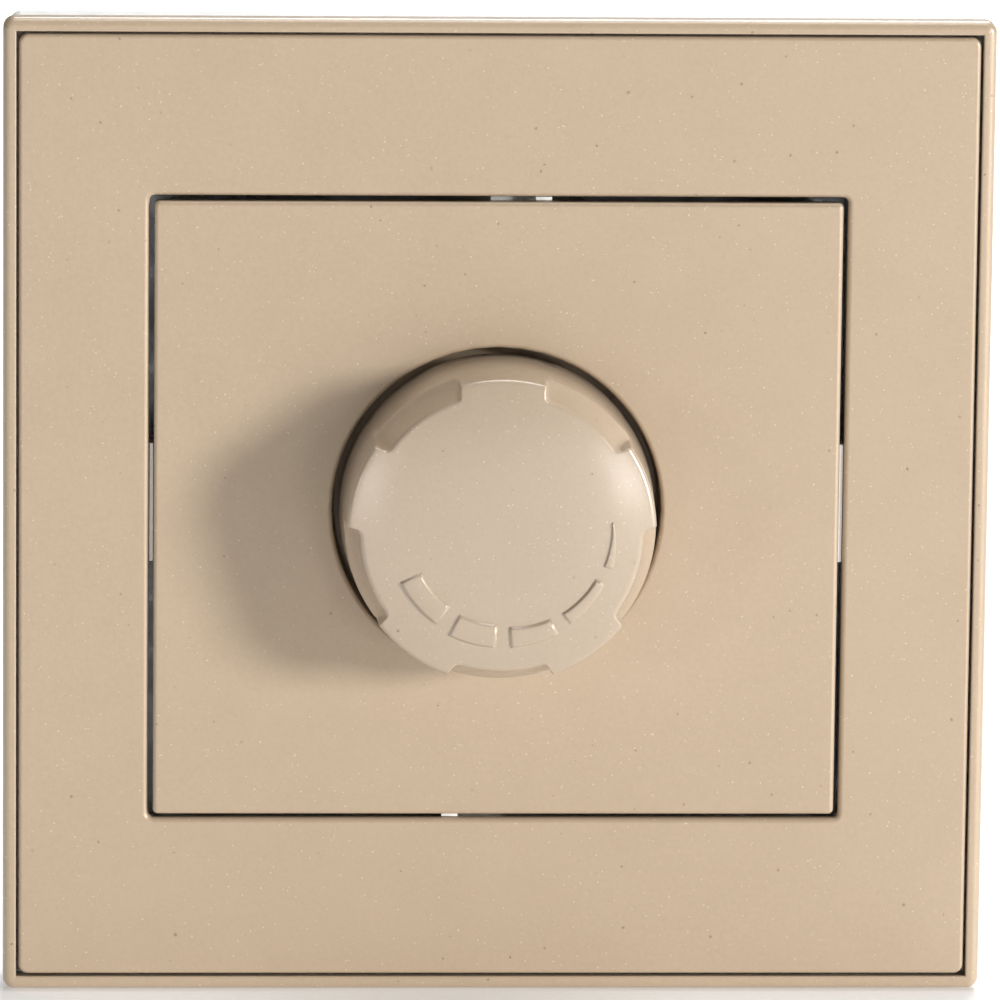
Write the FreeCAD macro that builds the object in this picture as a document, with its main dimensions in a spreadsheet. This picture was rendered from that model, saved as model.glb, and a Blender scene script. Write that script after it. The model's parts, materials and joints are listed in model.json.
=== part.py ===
import FreeCAD, Part
import os
import re
import Sketcher
from FreeCAD import Placement, Rotation, Vector

# Rotary dimmer switch for a 60 mm flush wall box, in millimetres.
#
# Every piece is drawn as the fitter sees it: x to the right, y up, z out of the wall into the room, with z = 0
# on the wall face. ROOM_FRAME then turns each finished piece so that +Z is up and the knob points along -Y.

ROOM_FRAME = Placement(Vector(0, 0, 0), Rotation(Vector(1, 0, 0), 90))

DIMENSIONS = {
    # wall plate
    "plate_width": 85.0,
    "plate_height": 85.0,
    "frame_front": 8.6,
    "fascia_depth": 2.1,
    "rim_width": 1.15,
    "groove_gap": 0.22,
    "aperture_width": 59.9,
    "aperture_height": 54.5,
    "outer_corner": 1.0,
    "outer_round": 0.7,
    "fascia_corner": 0.8,
    "fascia_round": 0.35,
    "aperture_corner": 0.45,
    # white carrier behind the fascia
    "back_inset": 0.5,
    "back_wall": 1.6,
    "back_web": 1.6,
    "inner_wall": 1.4,
    "inner_wall_setback": 0.3,
    "rib_width": 1.2,
    "rib_offset": 21.0,
    "lug_side_length": 10.3,
    "lug_side_rise": 0.5,
    "lug_end_length": 5.2,
    "lug_end_shift": 1.9,
    "blade_end_length": 1.4,
    "blade_end_shift": 3.8,
    "lug_reach": 1.05,
    "lug_ledge": 1.5,
    "lug_blade": 0.3,
    "lug_top": 8.15,
    # centre plate and the round well that the knob stands in
    "plate_gap": 0.42,
    "plate_proud": 0.4,
    "plate_lip": 1.2,
    "plate_skin": 1.6,
    "skirt_inset": 1.25,
    "skirt_wall": 1.3,
    "skirt_foot": 2.4,
    "plate_round": 0.4,
    "well_gap": 0.6,
    "well_wall": 1.4,
    "well_floor": 1.4,
    "neck_proud": 2.2,
    "well_round": 0.35,
    # knob
    "knob_base_radius": 13.6,
    "knob_taper": 0.4,
    "knob_sink": 0.7,
    "knob_height": 10.2,
    "knob_edge": 0.42,
    "knob_dome": 0.9,
    "knob_wall": 1.7,
    "knob_face": 1.9,
    "knob_boss": 10.0,
    "boss_foot": 10.6,
    "socket_end": 17.0,
    "scoop_count": 5,
    "scoop_span": 39.5,
    "scoop_phase": 54.0,
    "scoop_bite": 1.55,
    "scoop_lip": 0.5,
    "scoop_wall": 0.65,
    "scoop_depth": 3.9,
    "mark_start": 206.0,
    "mark_one": 29.0,
    "mark_two": 24.5,
    "mark_three": 24.5,
    "mark_four": 27.0,
    "mark_five": 24.0,
    "mark_gap": 7.75,
    "mark_outer": 9.9,
    "mark_inner": 7.8,
    "mark_growth": 1.75,
    "mark_relief": 0.35,
    "clip_wire": 0.6,
    "clip_length": 3.0,
    "clip_setback": 1.0,
    "clip_opening": 50.0,
    # threaded bush, nut and washer
    "bush_diameter": 10.0,
    "bush_clearance": 0.15,
    "bush_flange": 1.2,
    "washer_diameter": 16.0,
    "washer_thickness": 0.5,
    "nut_flats": 14.0,
    "nut_thickness": 2.2,
    "thread_proud": 0.5,
    # shaft
    "shaft_diameter": 6.0,
    "shaft_flat": 1.5,
    "running_gap": 0.05,
    "shaft_foot": 5.4,
    "ring_diameter": 9.0,
    "ring_thickness": 0.6,
    "push_travel": 1.5,
    # potentiometer
    "pot_diameter": 17.0,
    "pot_wall": 1.0,
    "pot_depth": 6.6,
    "track_outer": 14.6,
    "track_inner": 8.4,
    "track_thickness": 0.5,
    "track_span": 322.0,
    "rotor_diameter": 12.0,
    "rotor_thickness": 1.8,
    "rotor_lift": 0.9,
    "wiper_metal": 0.3,
    "wiper_gap": 0.15,
    "finger_width": 0.8,
    "finger_x": 1.0,
    "finger_y": 5.0,
    "stop_reach": 7.2,
    "rotor_stop_span": 20.0,
    "body_stop_span": 38.0,
    # push switch behind the board
    "switch_size": 11.0,
    "switch_depth": 7.0,
    "switch_bore": 6.4,
    "switch_floor": 1.0,
    "plunger_rod": 4.0,
    "plunger_collar": 5.8,
    "plunger_collar_length": 1.4,
    "plunger_gap": 0.2,
    "shoulder_drop": 0.8,
    "spring_outer": 5.0,
    "spring_inner": 4.0,
    # mounting yoke
    "yoke_size": 71.0,
    "yoke_thickness": 1.2,
    "yoke_corner": 9.0,
    "box_pitch": 60.0,
    "box_slot_width": 3.6,
    "box_slot_length": 5.6,
    "yoke_clearance": 0.3,
    # housing
    "housing_width": 43.0,
    "housing_height": 50.0,
    "housing_corner": 7.0,
    "hollow_corner": 6.4,
    "housing_wall": 1.6,
    "neck_side_step": 2.5,
    "neck_end_step": 3.0,
    "neck_corner": 8.0,
    "front_depth": 4.0,
    "rear_depth": 26.0,
    "screw_side_inset": 4.3,
    "screw_end_inset": 5.8,
    "screw_diameter": 2.2,
    "screw_head": 4.2,
    "screw_head_height": 1.4,
    "screw_length": 14.0,
    "screw_slot": 0.6,
    "screw_boss": 4.2,
    "screw_boss_length": 11.0,
    "screw_boss_floor": 1.2,
    "vent_width": 1.6,
    "vent_length": 11.0,
    "vent_pitch": 3.4,
    "vent_x": 10.4,
    "vent_y": 2.0,
    # circuit board
    "board_side_gap": 0.7,
    "board_end_gap": 0.6,
    "board_corner": 9.0,
    "board_thickness": 1.6,
    "board_front": 6.0,
    # power parts
    "triac_width": 10.0,
    "triac_thickness": 4.4,
    "triac_length": 14.6,
    "triac_tab_hole": 3.6,
    "triac_lift": 1.2,
    "triac_tab": 1.3,
    "triac_pitch": 2.54,
    "sink_face": 17.2,
    "sink_thickness": 1.5,
    "sink_width": 18.0,
    "sink_length": 14.0,
    "sink_lift": 1.0,
    "sink_fin": 5.0,
    "sink_screw": 3.0,
    "sink_screw_head": 5.4,
    "sink_screw_head_height": 1.6,
    "choke_x": 11.0,
    "choke_y": 12.0,
    "choke_outer": 11.2,
    "choke_inner": 5.6,
    "choke_height": 5.0,
    "choke_lift": 1.5,
    "winding_build": 0.9,
    "winding_span": 310.0,
    "standoff": 0.5,
    "film_length": 13.0,
    "film_width": 6.0,
    "film_height": 11.0,
    "film_x": 9.5,
    "film_y": 14.0,
    "film_pitch": 10.0,
    "lead_diameter": 0.7,
    "timing_length": 7.0,
    "timing_width": 2.6,
    "timing_height": 6.0,
    "timing_x": 9.4,
    "timing_pitch": 5.0,
    "resistor_diameter": 2.3,
    "resistor_length": 6.3,
    "leg_reach": 1.0,
    "resistor_x": 5.6,
    "resistor_y": 19.8,
    "diac_diameter": 1.9,
    "diac_length": 4.0,
    "diac_x": 9.3,
    "diac_y": 8.6,
    "fuse_diameter": 5.0,
    "fuse_length": 20.0,
    "fuse_cap": 5.0,
    "fuse_glass": 0.7,
    "fuse_x": 15.5,
    "fuse_y": 5.5,
    "fuse_lift": 4.2,
    "cap_metal": 0.2,
    "tube_inset": 0.3,
    "clip_metal": 0.5,
    "clip_grip": 0.6,
    "clip_margin": 1.5,
    # terminals
    "terminal_pitch": 7.5,
    "wire_y": 14.4,
    "wire_hole": 3.4,
    "guide_depth": 1.8,
    "guide_margin": 3.0,
    "cage_width": 6.0,
    "cage_depth": 6.0,
    "cage_wall": 1.2,
    "cage_floor": 1.6,
    "cage_opening": 5.6,
    "cage_lift": 1.0,
    "cage_setback": 0.4,
    "cage_travel": 2.0,
    "bar_width": 3.2,
    "bar_thickness": 1.0,
    "bar_drop": 1.8,
    "bar_overlap": 0.4,
    "clamp_screw": 2.9,
    "clamp_head": 4.6,
    "clamp_head_height": 1.8,
    "clamp_head_sink": 0.4,
    "clamp_slot": 1.6,
    "clamp_access": 5.4,
    "slot_blade": 0.8,
    # spreading claws
    "claw_screw_gap": 2.5,
    "claw_screw_diameter": 3.0,
    "claw_head": 5.2,
    "claw_head_height": 1.8,
    "claw_screw_length": 24.0,
    "claw_pin_gap": 5.1,
    "claw_pin_drop": 2.6,
    "claw_pin_diameter": 1.4,
    "claw_pin_length": 11.8,
    "claw_knuckle": 2.8,
    "claw_width": 8.4,
    "claw_slot": 4.4,
    "claw_gap": 5.5,
    "claw_thickness": 1.0,
    "claw_length": 21.4,
    "claw_tooth": 1.3,
    "ramp_foot_gap": 1.9,
    "ramp_waist_gap": 4.0,
    "ramp_foot_rise": 8.5,
    "ramp_top_rise": 6.5,
    "ramp_waist_rise": 1.6,
    "ramp_overlap": 0.2,
    "ear_inner": 4.9,
    "ear_thickness": 1.0,
    "ear_width": 3.2,
    "ear_drop": 4.2,
    "claw_slot_depth": 1.0,
    "nut_width": 4.4,
    "nut_span": 7.0,
    "nut_length": 4.0,
    "nut_gap": 4.9,
    "nut_rest": 19.0,
}

doc = FreeCAD.newDocument("rotary_dimmer")
sheet = doc.addObject("Spreadsheet::Sheet", "dims")
for row, (alias, number) in enumerate(DIMENSIONS.items(), start=1):
    sheet.set(f"A{row}", alias)
    sheet.set(f"B{row}", str(number))
    sheet.setAlias(f"B{row}", alias)
doc.recompute()

nodes = []
SPARE_CELL = "D1"


# ---------------------------------------------------------------- expressions

def bind(text):
    """An expression on the sheet, written with the bare names of its cells."""
    return re.sub(r"[a-z_]+", lambda word: f"dims.{word[0]}" if word[0] in DIMENSIONS else word[0], str(text))


def size(alias):
    return float(sheet.get(alias))


def value_of(expression):
    """The present number of an expression, worked out in a spare cell of the sheet."""
    sheet.set(SPARE_CELL, f"={expression}")
    sheet.recompute()
    number = sheet.get(SPARE_CELL)
    return float(getattr(number, "Value", number))


# Heights above the wall face that several pieces share.
FASCIA_BACK = "(frame_front - fascia_depth)"
CENTRE_FRONT = "(frame_front + plate_proud)"
CENTRE_WIDTH = "(aperture_width - 2 * plate_gap)"
CENTRE_HEIGHT = "(aperture_height - 2 * plate_gap)"
SKIRT_WIDTH = "(aperture_width - 2 * plate_gap - 2 * skirt_inset)"
SKIRT_HEIGHT = "(aperture_height - 2 * plate_gap - 2 * skirt_inset)"
NECK_FRONT = "(yoke_thickness + neck_proud)"
WELL_FLOOR = "(yoke_thickness + neck_proud + well_floor)"
NUT_FOOT = "(yoke_thickness + neck_proud + well_floor + washer_thickness)"
BUSH_TOP = "(yoke_thickness + neck_proud + well_floor + washer_thickness + nut_thickness + thread_proud)"
FLANGE_TOP = "(yoke_thickness + neck_proud - housing_wall)"
POT_TOP = "(yoke_thickness + neck_proud - housing_wall - bush_flange)"
POT_FOOT = "(-board_front)"
KNOB_FOOT = "(frame_front + plate_proud - knob_sink)"
KNOB_FRONT = "(frame_front + plate_proud + knob_height)"
BOARD_BACK = "(-board_front - board_thickness)"
SHAFT_BORE = "(shaft_diameter + 2 * running_gap)"
BAR_FACE = "(wire_y + bar_drop)"
CAGE_BACK = "(-rear_depth + housing_wall + guide_depth + cage_setback)"
CAGE_MIDDLE = "(-rear_depth + housing_wall + guide_depth + cage_setback + cage_depth / 2)"
PLUNGER_SHOULDER = "(-board_front - board_thickness - shoulder_drop)"
PIN_HEIGHT = "(-claw_pin_drop)"

# Sizes that follow the piece they fit: the well and the scoops follow the knob, and the neck, the screws, the
# board and the claws follow the housing.
WELL_DIAMETER = "(2 * knob_base_radius + 2 * well_gap)"
KNOB_FRONT_RADIUS = "(knob_base_radius - knob_taper)"
SCOOP_RADIUS = "(knob_base_radius - knob_taper - scoop_bite)"
NECK_WIDTH = "(housing_width - 2 * neck_side_step)"
NECK_HEIGHT = "(housing_height - 2 * neck_end_step)"
SCREW_X = "(housing_width / 2 - screw_side_inset)"
SCREW_Y = "(housing_height / 2 - screw_end_inset)"
BOARD_WIDTH = "(housing_width - 2 * housing_wall - 2 * board_side_gap)"
BOARD_HEIGHT = "(housing_height - 2 * housing_wall - 2 * board_end_gap)"
CLAW_SCREW_X = "(housing_width / 2 + claw_screw_gap)"
CLAW_PIN_X = "(housing_width / 2 + claw_pin_gap)"
CLAW_INNER = "(housing_width / 2 + claw_gap)"
CLAW_RAMP_FOOT = "(housing_width / 2 + ramp_foot_gap)"
CLAW_RAMP_WAIST = "(housing_width / 2 + ramp_waist_gap)"
NUT_OUTER = "(housing_width / 2 + nut_gap)"


# ---------------------------------------------------------------- sketches and features

def plane(body, role):
    for feature in body.Origin.OriginFeatures:
        if feature.Role == role:
            return feature
    raise RuntimeError(f"{body.Label} has no {role}")


def new_body(label):
    body = doc.addObject("PartDesign::Body", label)
    body.Label = label
    return body


def new_sketch(body, name, height, x="0", y="0", turn=0.0):
    """A sketch parallel to the wall, with its own origin at x, y and its height above the wall."""
    sketch = body.newObject("Sketcher::SketchObject", name)
    sketch.AttachmentSupport = [(plane(body, "XY_Plane"), "")]
    sketch.MapMode = "FlatFace"
    sketch.AttachmentOffset = Placement(Vector(0, 0, 0), Rotation(Vector(0, 0, 1), turn))
    sketch.setExpression("AttachmentOffset.Base.x", bind(x))
    sketch.setExpression("AttachmentOffset.Base.y", bind(y))
    sketch.setExpression("AttachmentOffset.Base.z", bind(height))
    return sketch


def constrain(sketch, expression, *constraint):
    index = sketch.addConstraint(Sketcher.Constraint(*constraint))
    sketch.setExpression(f"Constraints[{index}]", bind(expression))


def rectangle(sketch, width, height):
    """A rectangle about the sketch's origin, its two sides bound to the sheet."""
    half_x = 5.0
    half_y = 5.0
    corners = [
        Vector(-half_x, -half_y, 0),
        Vector(half_x, -half_y, 0),
        Vector(half_x, half_y, 0),
        Vector(-half_x, half_y, 0),
    ]
    first = sketch.GeometryCount
    for number in range(4):
        sketch.addGeometry(Part.LineSegment(corners[number], corners[(number + 1) % 4]), False)
    for number in range(4):
        following = first + (number + 1) % 4
        sketch.addConstraint(Sketcher.Constraint("Coincident", first + number, 2, following, 1))
    for number in (0, 2):
        sketch.addConstraint(Sketcher.Constraint("Horizontal", first + number))
    for number in (1, 3):
        sketch.addConstraint(Sketcher.Constraint("Vertical", first + number))
    sketch.addConstraint(Sketcher.Constraint("Symmetric", first, 1, first + 1, 2, -1, 1))
    constrain(sketch, width, "DistanceX", first, 1, first, 2, 2 * half_x)
    constrain(sketch, height, "DistanceY", first + 1, 1, first + 1, 2, 2 * half_y)


def polygon(sketch, points, dome=None):
    """A closed outline through points given as pairs of expressions.
    dome numbers the point that an arc, centred on the vertical axis, leaves for the next point."""
    corners = [Vector(value_of(x), value_of(y), 0) for x, y in points]
    count = len(corners)
    for number in range(count):
        here = corners[number]
        there = corners[(number + 1) % count]
        if number == dome:
            sketch.addGeometry(dome_arc(here, there), False)
        else:
            sketch.addGeometry(Part.LineSegment(here, there), False)
    if dome is not None:
        sketch.addConstraint(Sketcher.Constraint("PointOnObject", dome, 3, -2))
    for number, (x, y) in enumerate(points):
        sketch.addConstraint(Sketcher.Constraint("Coincident", (number - 1) % count, 2, number, 1))
        if abs(corners[number].x) < 1e-6:
            sketch.addConstraint(Sketcher.Constraint("PointOnObject", number, 1, -2))
        else:
            constrain(sketch, x, "DistanceX", -1, 1, number, 1, corners[number].x)
        constrain(sketch, y, "DistanceY", -1, 1, number, 1, corners[number].y)


def dome_arc(edge, crown):
    """The arc from the edge of a face up to its crown on the axis."""
    rise = crown.y - edge.y
    radius = (edge.x ** 2 + rise ** 2) / (2 * rise)
    whole = Part.Circle(Vector(0, crown.y - radius, 0), Vector(0, 0, 1), radius)
    return Part.ArcOfCircle(whole, whole.parameter(edge), whole.parameter(crown))


def octagon(sketch, width, height, corner):
    """A rectangle with its corners cut off."""
    points = []
    for side_x, side_y in ((1, 1), (-1, 1), (-1, -1), (1, -1)):
        on_side = (f"{side_x} * ({width}) / 2", f"{side_y} * (({height}) / 2 - {corner})")
        on_end = (f"{side_x} * (({width}) / 2 - {corner})", f"{side_y} * ({height}) / 2")
        points += [on_side, on_end] if side_x == side_y else [on_end, on_side]
    polygon(sketch, points)


def circle(sketch, diameter):
    number = sketch.addGeometry(Part.Circle(Vector(0, 0, 0), Vector(0, 0, 1), 2.0), False)
    sketch.addConstraint(Sketcher.Constraint("Coincident", number, 3, -1, 1))
    constrain(sketch, diameter, "Diameter", number, 4.0)


def ring_sector(sketch, inner, outer, span):
    """A piece of a ring, symmetric about the sketch's x axis. span is in degrees."""
    half = 0.2
    arcs = []
    for start_radius in (4.0, 2.0):
        whole = Part.Circle(Vector(0, 0, 0), Vector(0, 0, 1), start_radius)
        arcs.append(sketch.addGeometry(Part.ArcOfCircle(whole, -half, half), False))
    ends = []
    for end in (1, 2):
        edge = Part.LineSegment(sketch.getPoint(arcs[0], end), sketch.getPoint(arcs[1], end))
        ends.append(sketch.addGeometry(edge, False))
    for arc, radius in zip(arcs, (outer, inner)):
        sketch.addConstraint(Sketcher.Constraint("Coincident", arc, 3, -1, 1))
        constrain(sketch, radius, "Radius", arc, 3.0)
    for end, edge in zip((1, 2), ends):
        sketch.addConstraint(Sketcher.Constraint("Coincident", arcs[0], end, edge, 1))
        sketch.addConstraint(Sketcher.Constraint("Coincident", arcs[1], end, edge, 2))
    sketch.addConstraint(Sketcher.Constraint("Symmetric", arcs[0], 1, arcs[0], 2, -1))
    sketch.addConstraint(Sketcher.Constraint("Symmetric", arcs[1], 1, arcs[1], 2, -1))
    for arc in arcs:
        constrain(sketch, f"({span}) * 1 deg", "Angle", arc, 2 * half)


def profile(body, name, points, dome=None, turn=0.0):
    """A closed outline in a plane through the knob's axis: radius along x, height along y."""
    sketch = body.newObject("Sketcher::SketchObject", name)
    sketch.AttachmentSupport = [(plane(body, "XZ_Plane"), "")]
    sketch.MapMode = "FlatFace"
    sketch.AttachmentOffset = Placement(Vector(0, 0, 0), Rotation(Vector(0, 1, 0), turn))
    polygon(sketch, points, dome)
    return sketch


def pad(body, sketch, length, name):
    feature = body.newObject("PartDesign::Pad", name)
    feature.Profile = sketch
    feature.setExpression("Length", bind(length))
    return feature


def pocket(body, sketch, length, name):
    """A cut from the sketch's plane towards the wall."""
    feature = body.newObject("PartDesign::Pocket", name)
    feature.Profile = sketch
    feature.setExpression("Length", bind(length))
    return feature


def edges_where(feature, test):
    doc.recompute()
    chosen = []
    for number, edge in enumerate(feature.Shape.Edges, start=1):
        if test(edge):
            chosen.append(f"Edge{number}")
    if not chosen:
        raise RuntimeError(f"{feature.Name}: no such edge")
    return chosen


def upright_at(half_x, half_y):
    """Edges square to the wall at the corners of a centred rectangle."""
    def test(edge):
        box = edge.BoundBox
        flat = box.XLength < 1e-3 and box.YLength < 1e-3
        return flat and abs(abs(box.Center.x) - half_x) < 1e-3 and abs(abs(box.Center.y) - half_y) < 1e-3
    return test


def level_at(height, half_x, half_y):
    """Edges at one height that run along the sides of a centred rectangle."""
    def test(edge):
        box = edge.BoundBox
        if box.ZLength > 1e-3 or abs(box.Center.z - height) > 1e-3:
            return False
        inside = abs(box.XMax) <= half_x + 1e-3 and abs(box.YMax) <= half_y + 1e-3
        on_side = abs(abs(box.Center.x) - half_x) < 1e-3 or abs(abs(box.Center.y) - half_y) < 1e-3
        at_corner = abs(box.Center.x) > half_x - 3 and abs(box.Center.y) > half_y - 3
        return inside and (on_side or at_corner)
    return test


def round_at(height, radius):
    """Round edges about the axis at one height."""
    def test(edge):
        box = edge.BoundBox
        level = box.ZLength < 1e-3 and abs(box.Center.z - height) < 1e-3
        return level and abs(box.XMax - radius) < 1e-3 and abs(box.XMin + radius) < 1e-3
    return test


def soften(body, feature, edges, radius, name, kind="PartDesign::Fillet"):
    softened = body.newObject(kind, name)
    softened.Base = (feature, edges)
    dimension = "Radius" if kind.endswith("Fillet") else "Size"
    softened.setExpression(dimension, bind(radius))
    return softened


# ---------------------------------------------------------------- primitives

def block(name, length, width, height, x="0", y="0", z="0"):
    """A box centred on x, y that rises from z."""
    box = doc.addObject("Part::Box", name)
    box.setExpression("Length", bind(length))
    box.setExpression("Width", bind(width))
    box.setExpression("Height", bind(height))
    box.setExpression("Placement.Base.x", bind(f"{x} - ({length}) / 2"))
    box.setExpression("Placement.Base.y", bind(f"{y} - ({width}) / 2"))
    box.setExpression("Placement.Base.z", bind(z))
    return box


def rod(name, diameter, length, x="0", y="0", z="0", along="z"):
    """A cylinder that starts at x, y, z and runs along one axis."""
    turns = {
        "z": Rotation(),
        "x": Rotation(Vector(0, 1, 0), 90),
        "y": Rotation(Vector(1, 0, 0), -90),
    }
    cylinder = doc.addObject("Part::Cylinder", name)
    cylinder.Placement = Placement(Vector(0, 0, 0), turns[along])
    cylinder.setExpression("Radius", bind(f"({diameter}) / 2"))
    cylinder.setExpression("Height", bind(length))
    cylinder.setExpression("Placement.Base.x", bind(x))
    cylinder.setExpression("Placement.Base.y", bind(y))
    cylinder.setExpression("Placement.Base.z", bind(z))
    return cylinder


def joined(name, *pieces):
    fusion = doc.addObject("Part::MultiFuse", name)
    fusion.Shapes = list(pieces)
    return fusion


def without(name, base, *tools):
    cut = doc.addObject("Part::Cut", name)
    cut.Base = base
    cut.Tool = tools[0] if len(tools) == 1 else joined(f"{name}_tools", *tools)
    return cut


def group(name, *pieces):
    compound = doc.addObject("Part::Compound", name)
    compound.Links = list(pieces)
    return compound


def finish_node(piece, label):
    piece.Label = label
    piece.Placement = ROOM_FRAME
    nodes.append(piece)
    return piece


# ---------------------------------------------------------------- wall plate

def make_outer_rim():
    body = new_body("outer_rim")
    outline = new_sketch(body, "rim_outline", FASCIA_BACK)
    rectangle(outline, "plate_width", "plate_height")
    ring = pad(body, outline, "fascia_depth", "rim_pad")
    corners = edges_where(ring, upright_at(size("plate_width") / 2, size("plate_height") / 2))
    ring = soften(body, ring, corners, "outer_corner", "rim_corners")
    front = level_at(size("frame_front"), size("plate_width") / 2, size("plate_height") / 2)
    ring = soften(body, ring, edges_where(ring, front), "outer_round", "rim_round")
    opening = new_sketch(body, "rim_opening", "frame_front")
    rectangle(opening, "plate_width - 2 * rim_width", "plate_height - 2 * rim_width")
    pocket(body, opening, "fascia_depth", "rim_pocket")
    finish_node(body, "outer_rim")


def make_front_fascia():
    width = "(plate_width - 2 * rim_width - 2 * groove_gap)"
    height = "(plate_height - 2 * rim_width - 2 * groove_gap)"
    half_x = size("plate_width") / 2 - size("rim_width") - size("groove_gap")
    half_y = size("plate_height") / 2 - size("rim_width") - size("groove_gap")
    body = new_body("front_fascia")
    outline = new_sketch(body, "fascia_outline", FASCIA_BACK)
    rectangle(outline, width, height)
    slab = pad(body, outline, "fascia_depth", "fascia_pad")
    slab = soften(body, slab, edges_where(slab, upright_at(half_x, half_y)), "fascia_corner", "fascia_corners")
    front = level_at(size("frame_front"), half_x, half_y)
    slab = soften(body, slab, edges_where(slab, front), "fascia_round", "fascia_edge")
    opening = new_sketch(body, "fascia_opening", "frame_front")
    rectangle(opening, "aperture_width", "aperture_height")
    slab = pocket(body, opening, "fascia_depth", "fascia_pocket")
    inner = upright_at(size("aperture_width") / 2, size("aperture_height") / 2)
    slab = soften(body, slab, edges_where(slab, inner), "aperture_corner", "aperture_corners")
    inner = level_at(size("frame_front"), size("aperture_width") / 2, size("aperture_height") / 2)
    soften(body, slab, edges_where(slab, inner), "fascia_round", "aperture_edge")
    finish_node(body, "front_fascia")


def lug(name, ledge_x, blade_x, ledge_y, blade_y, lengths, body, upright=True):
    """A ledge under the fascia with a thin blade that stands in the gap round the centre plate."""
    ledge_foot = f"{FASCIA_BACK} - lug_ledge"
    blade_height = f"lug_top - {FASCIA_BACK} + lug_ledge / 2"
    for part, across, along, width, length, foot, height in (
        ("ledge", ledge_x, ledge_y, "inner_wall + lug_reach", lengths[0], ledge_foot, "lug_ledge"),
        ("blade", blade_x, blade_y, "lug_blade", lengths[1], f"{FASCIA_BACK} - lug_ledge / 2", blade_height),
    ):
        place = (across, along) if upright else (along, across)
        sketch = new_sketch(body, f"{name}_{part}", foot, *place)
        rectangle(sketch, width if upright else length, length if upright else width)
        pad(body, sketch, height, f"{name}_{part}_pad")


def make_back_frame():
    """The moulded carrier: an outer wall, a web under the fascia and an inner wall round the aperture."""
    outer_width = "(plate_width - 2 * back_inset)"
    outer_height = "(plate_height - 2 * back_inset)"
    inner_width = "(aperture_width + 2 * inner_wall_setback)"
    inner_height = "(aperture_height + 2 * inner_wall_setback)"
    foot = "(yoke_thickness + yoke_clearance)"
    body = new_body("back_frame")
    outline = new_sketch(body, "carrier_outline", "0")
    rectangle(outline, outer_width, outer_height)
    carrier = pad(body, outline, FASCIA_BACK, "carrier_pad")
    half_x = size("plate_width") / 2 - size("back_inset")
    half_y = size("plate_height") / 2 - size("back_inset")
    corners = edges_where(carrier, upright_at(half_x, half_y))
    carrier = soften(body, carrier, corners, "outer_corner", "carrier_corners")
    hollow = new_sketch(body, "carrier_hollow", f"{FASCIA_BACK} - back_web")
    rectangle(hollow, f"{outer_width} - 2 * back_wall", f"{outer_height} - 2 * back_wall")
    carrier = pocket(body, hollow, f"{FASCIA_BACK} - back_web", "carrier_hollow_cut")
    ledge = new_sketch(body, "inner_wall_outline", foot)
    rectangle(ledge, f"{inner_width} + 2 * inner_wall", f"{inner_height} + 2 * inner_wall")
    pad(body, ledge, f"{FASCIA_BACK} - {foot}", "inner_wall_pad")
    opening = new_sketch(body, "carrier_opening", FASCIA_BACK)
    rectangle(opening, inner_width, inner_height)
    pocket(body, opening, FASCIA_BACK, "carrier_opening_cut")
    reach_x = f"(({outer_width} - 2 * back_wall) - ({inner_width} + 2 * inner_wall)) / 2"
    reach_y = f"(({outer_height} - 2 * back_wall) - ({inner_height} + 2 * inner_wall)) / 2"
    middle_x = f"(({outer_width} - 2 * back_wall) + ({inner_width} + 2 * inner_wall)) / 4"
    middle_y = f"(({outer_height} - 2 * back_wall) + ({inner_height} + 2 * inner_wall)) / 4"
    number = 0
    for side in (-1, 1):
        for step in (-1, 0, 1):
            number += 1
            rib = new_sketch(body, f"rib_side_{number}", foot, f"{side} * {middle_x}", f"{step} * rib_offset")
            rectangle(rib, f"{reach_x} + 0.2", "rib_width")
            pad(body, rib, f"{FASCIA_BACK} - {foot}", f"rib_side_pad_{number}")
            rib = new_sketch(body, f"rib_end_{number}", foot, f"{step} * rib_offset", f"{side} * {middle_y}")
            rectangle(rib, "rib_width", f"{reach_y} + 0.2")
            pad(body, rib, f"{FASCIA_BACK} - {foot}", f"rib_end_pad_{number}")
    for side in (-1, 1):
        word = "left" if side < 0 else "right"
        lug(f"lug_{word}", ledge_x=f"{side} * ({inner_width} / 2 + inner_wall / 2 - lug_reach / 2)",
            blade_x=f"{side} * (aperture_width / 2 - plate_gap / 2)", ledge_y="lug_side_rise",
            blade_y="lug_side_rise", lengths=("lug_side_length", "lug_side_length"), body=body)
        word = "bottom" if side < 0 else "top"
        lug(f"lug_{word}", ledge_x=f"{side} * ({inner_height} / 2 + inner_wall / 2 - lug_reach / 2)",
            blade_x=f"{side} * (aperture_height / 2 - plate_gap / 2)", ledge_y=f"{side} * lug_end_shift",
            blade_y=f"{side} * blade_end_shift", lengths=("lug_end_length", "blade_end_length"),
            body=body, upright=False)
    finish_node(body, "back_frame")


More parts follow.
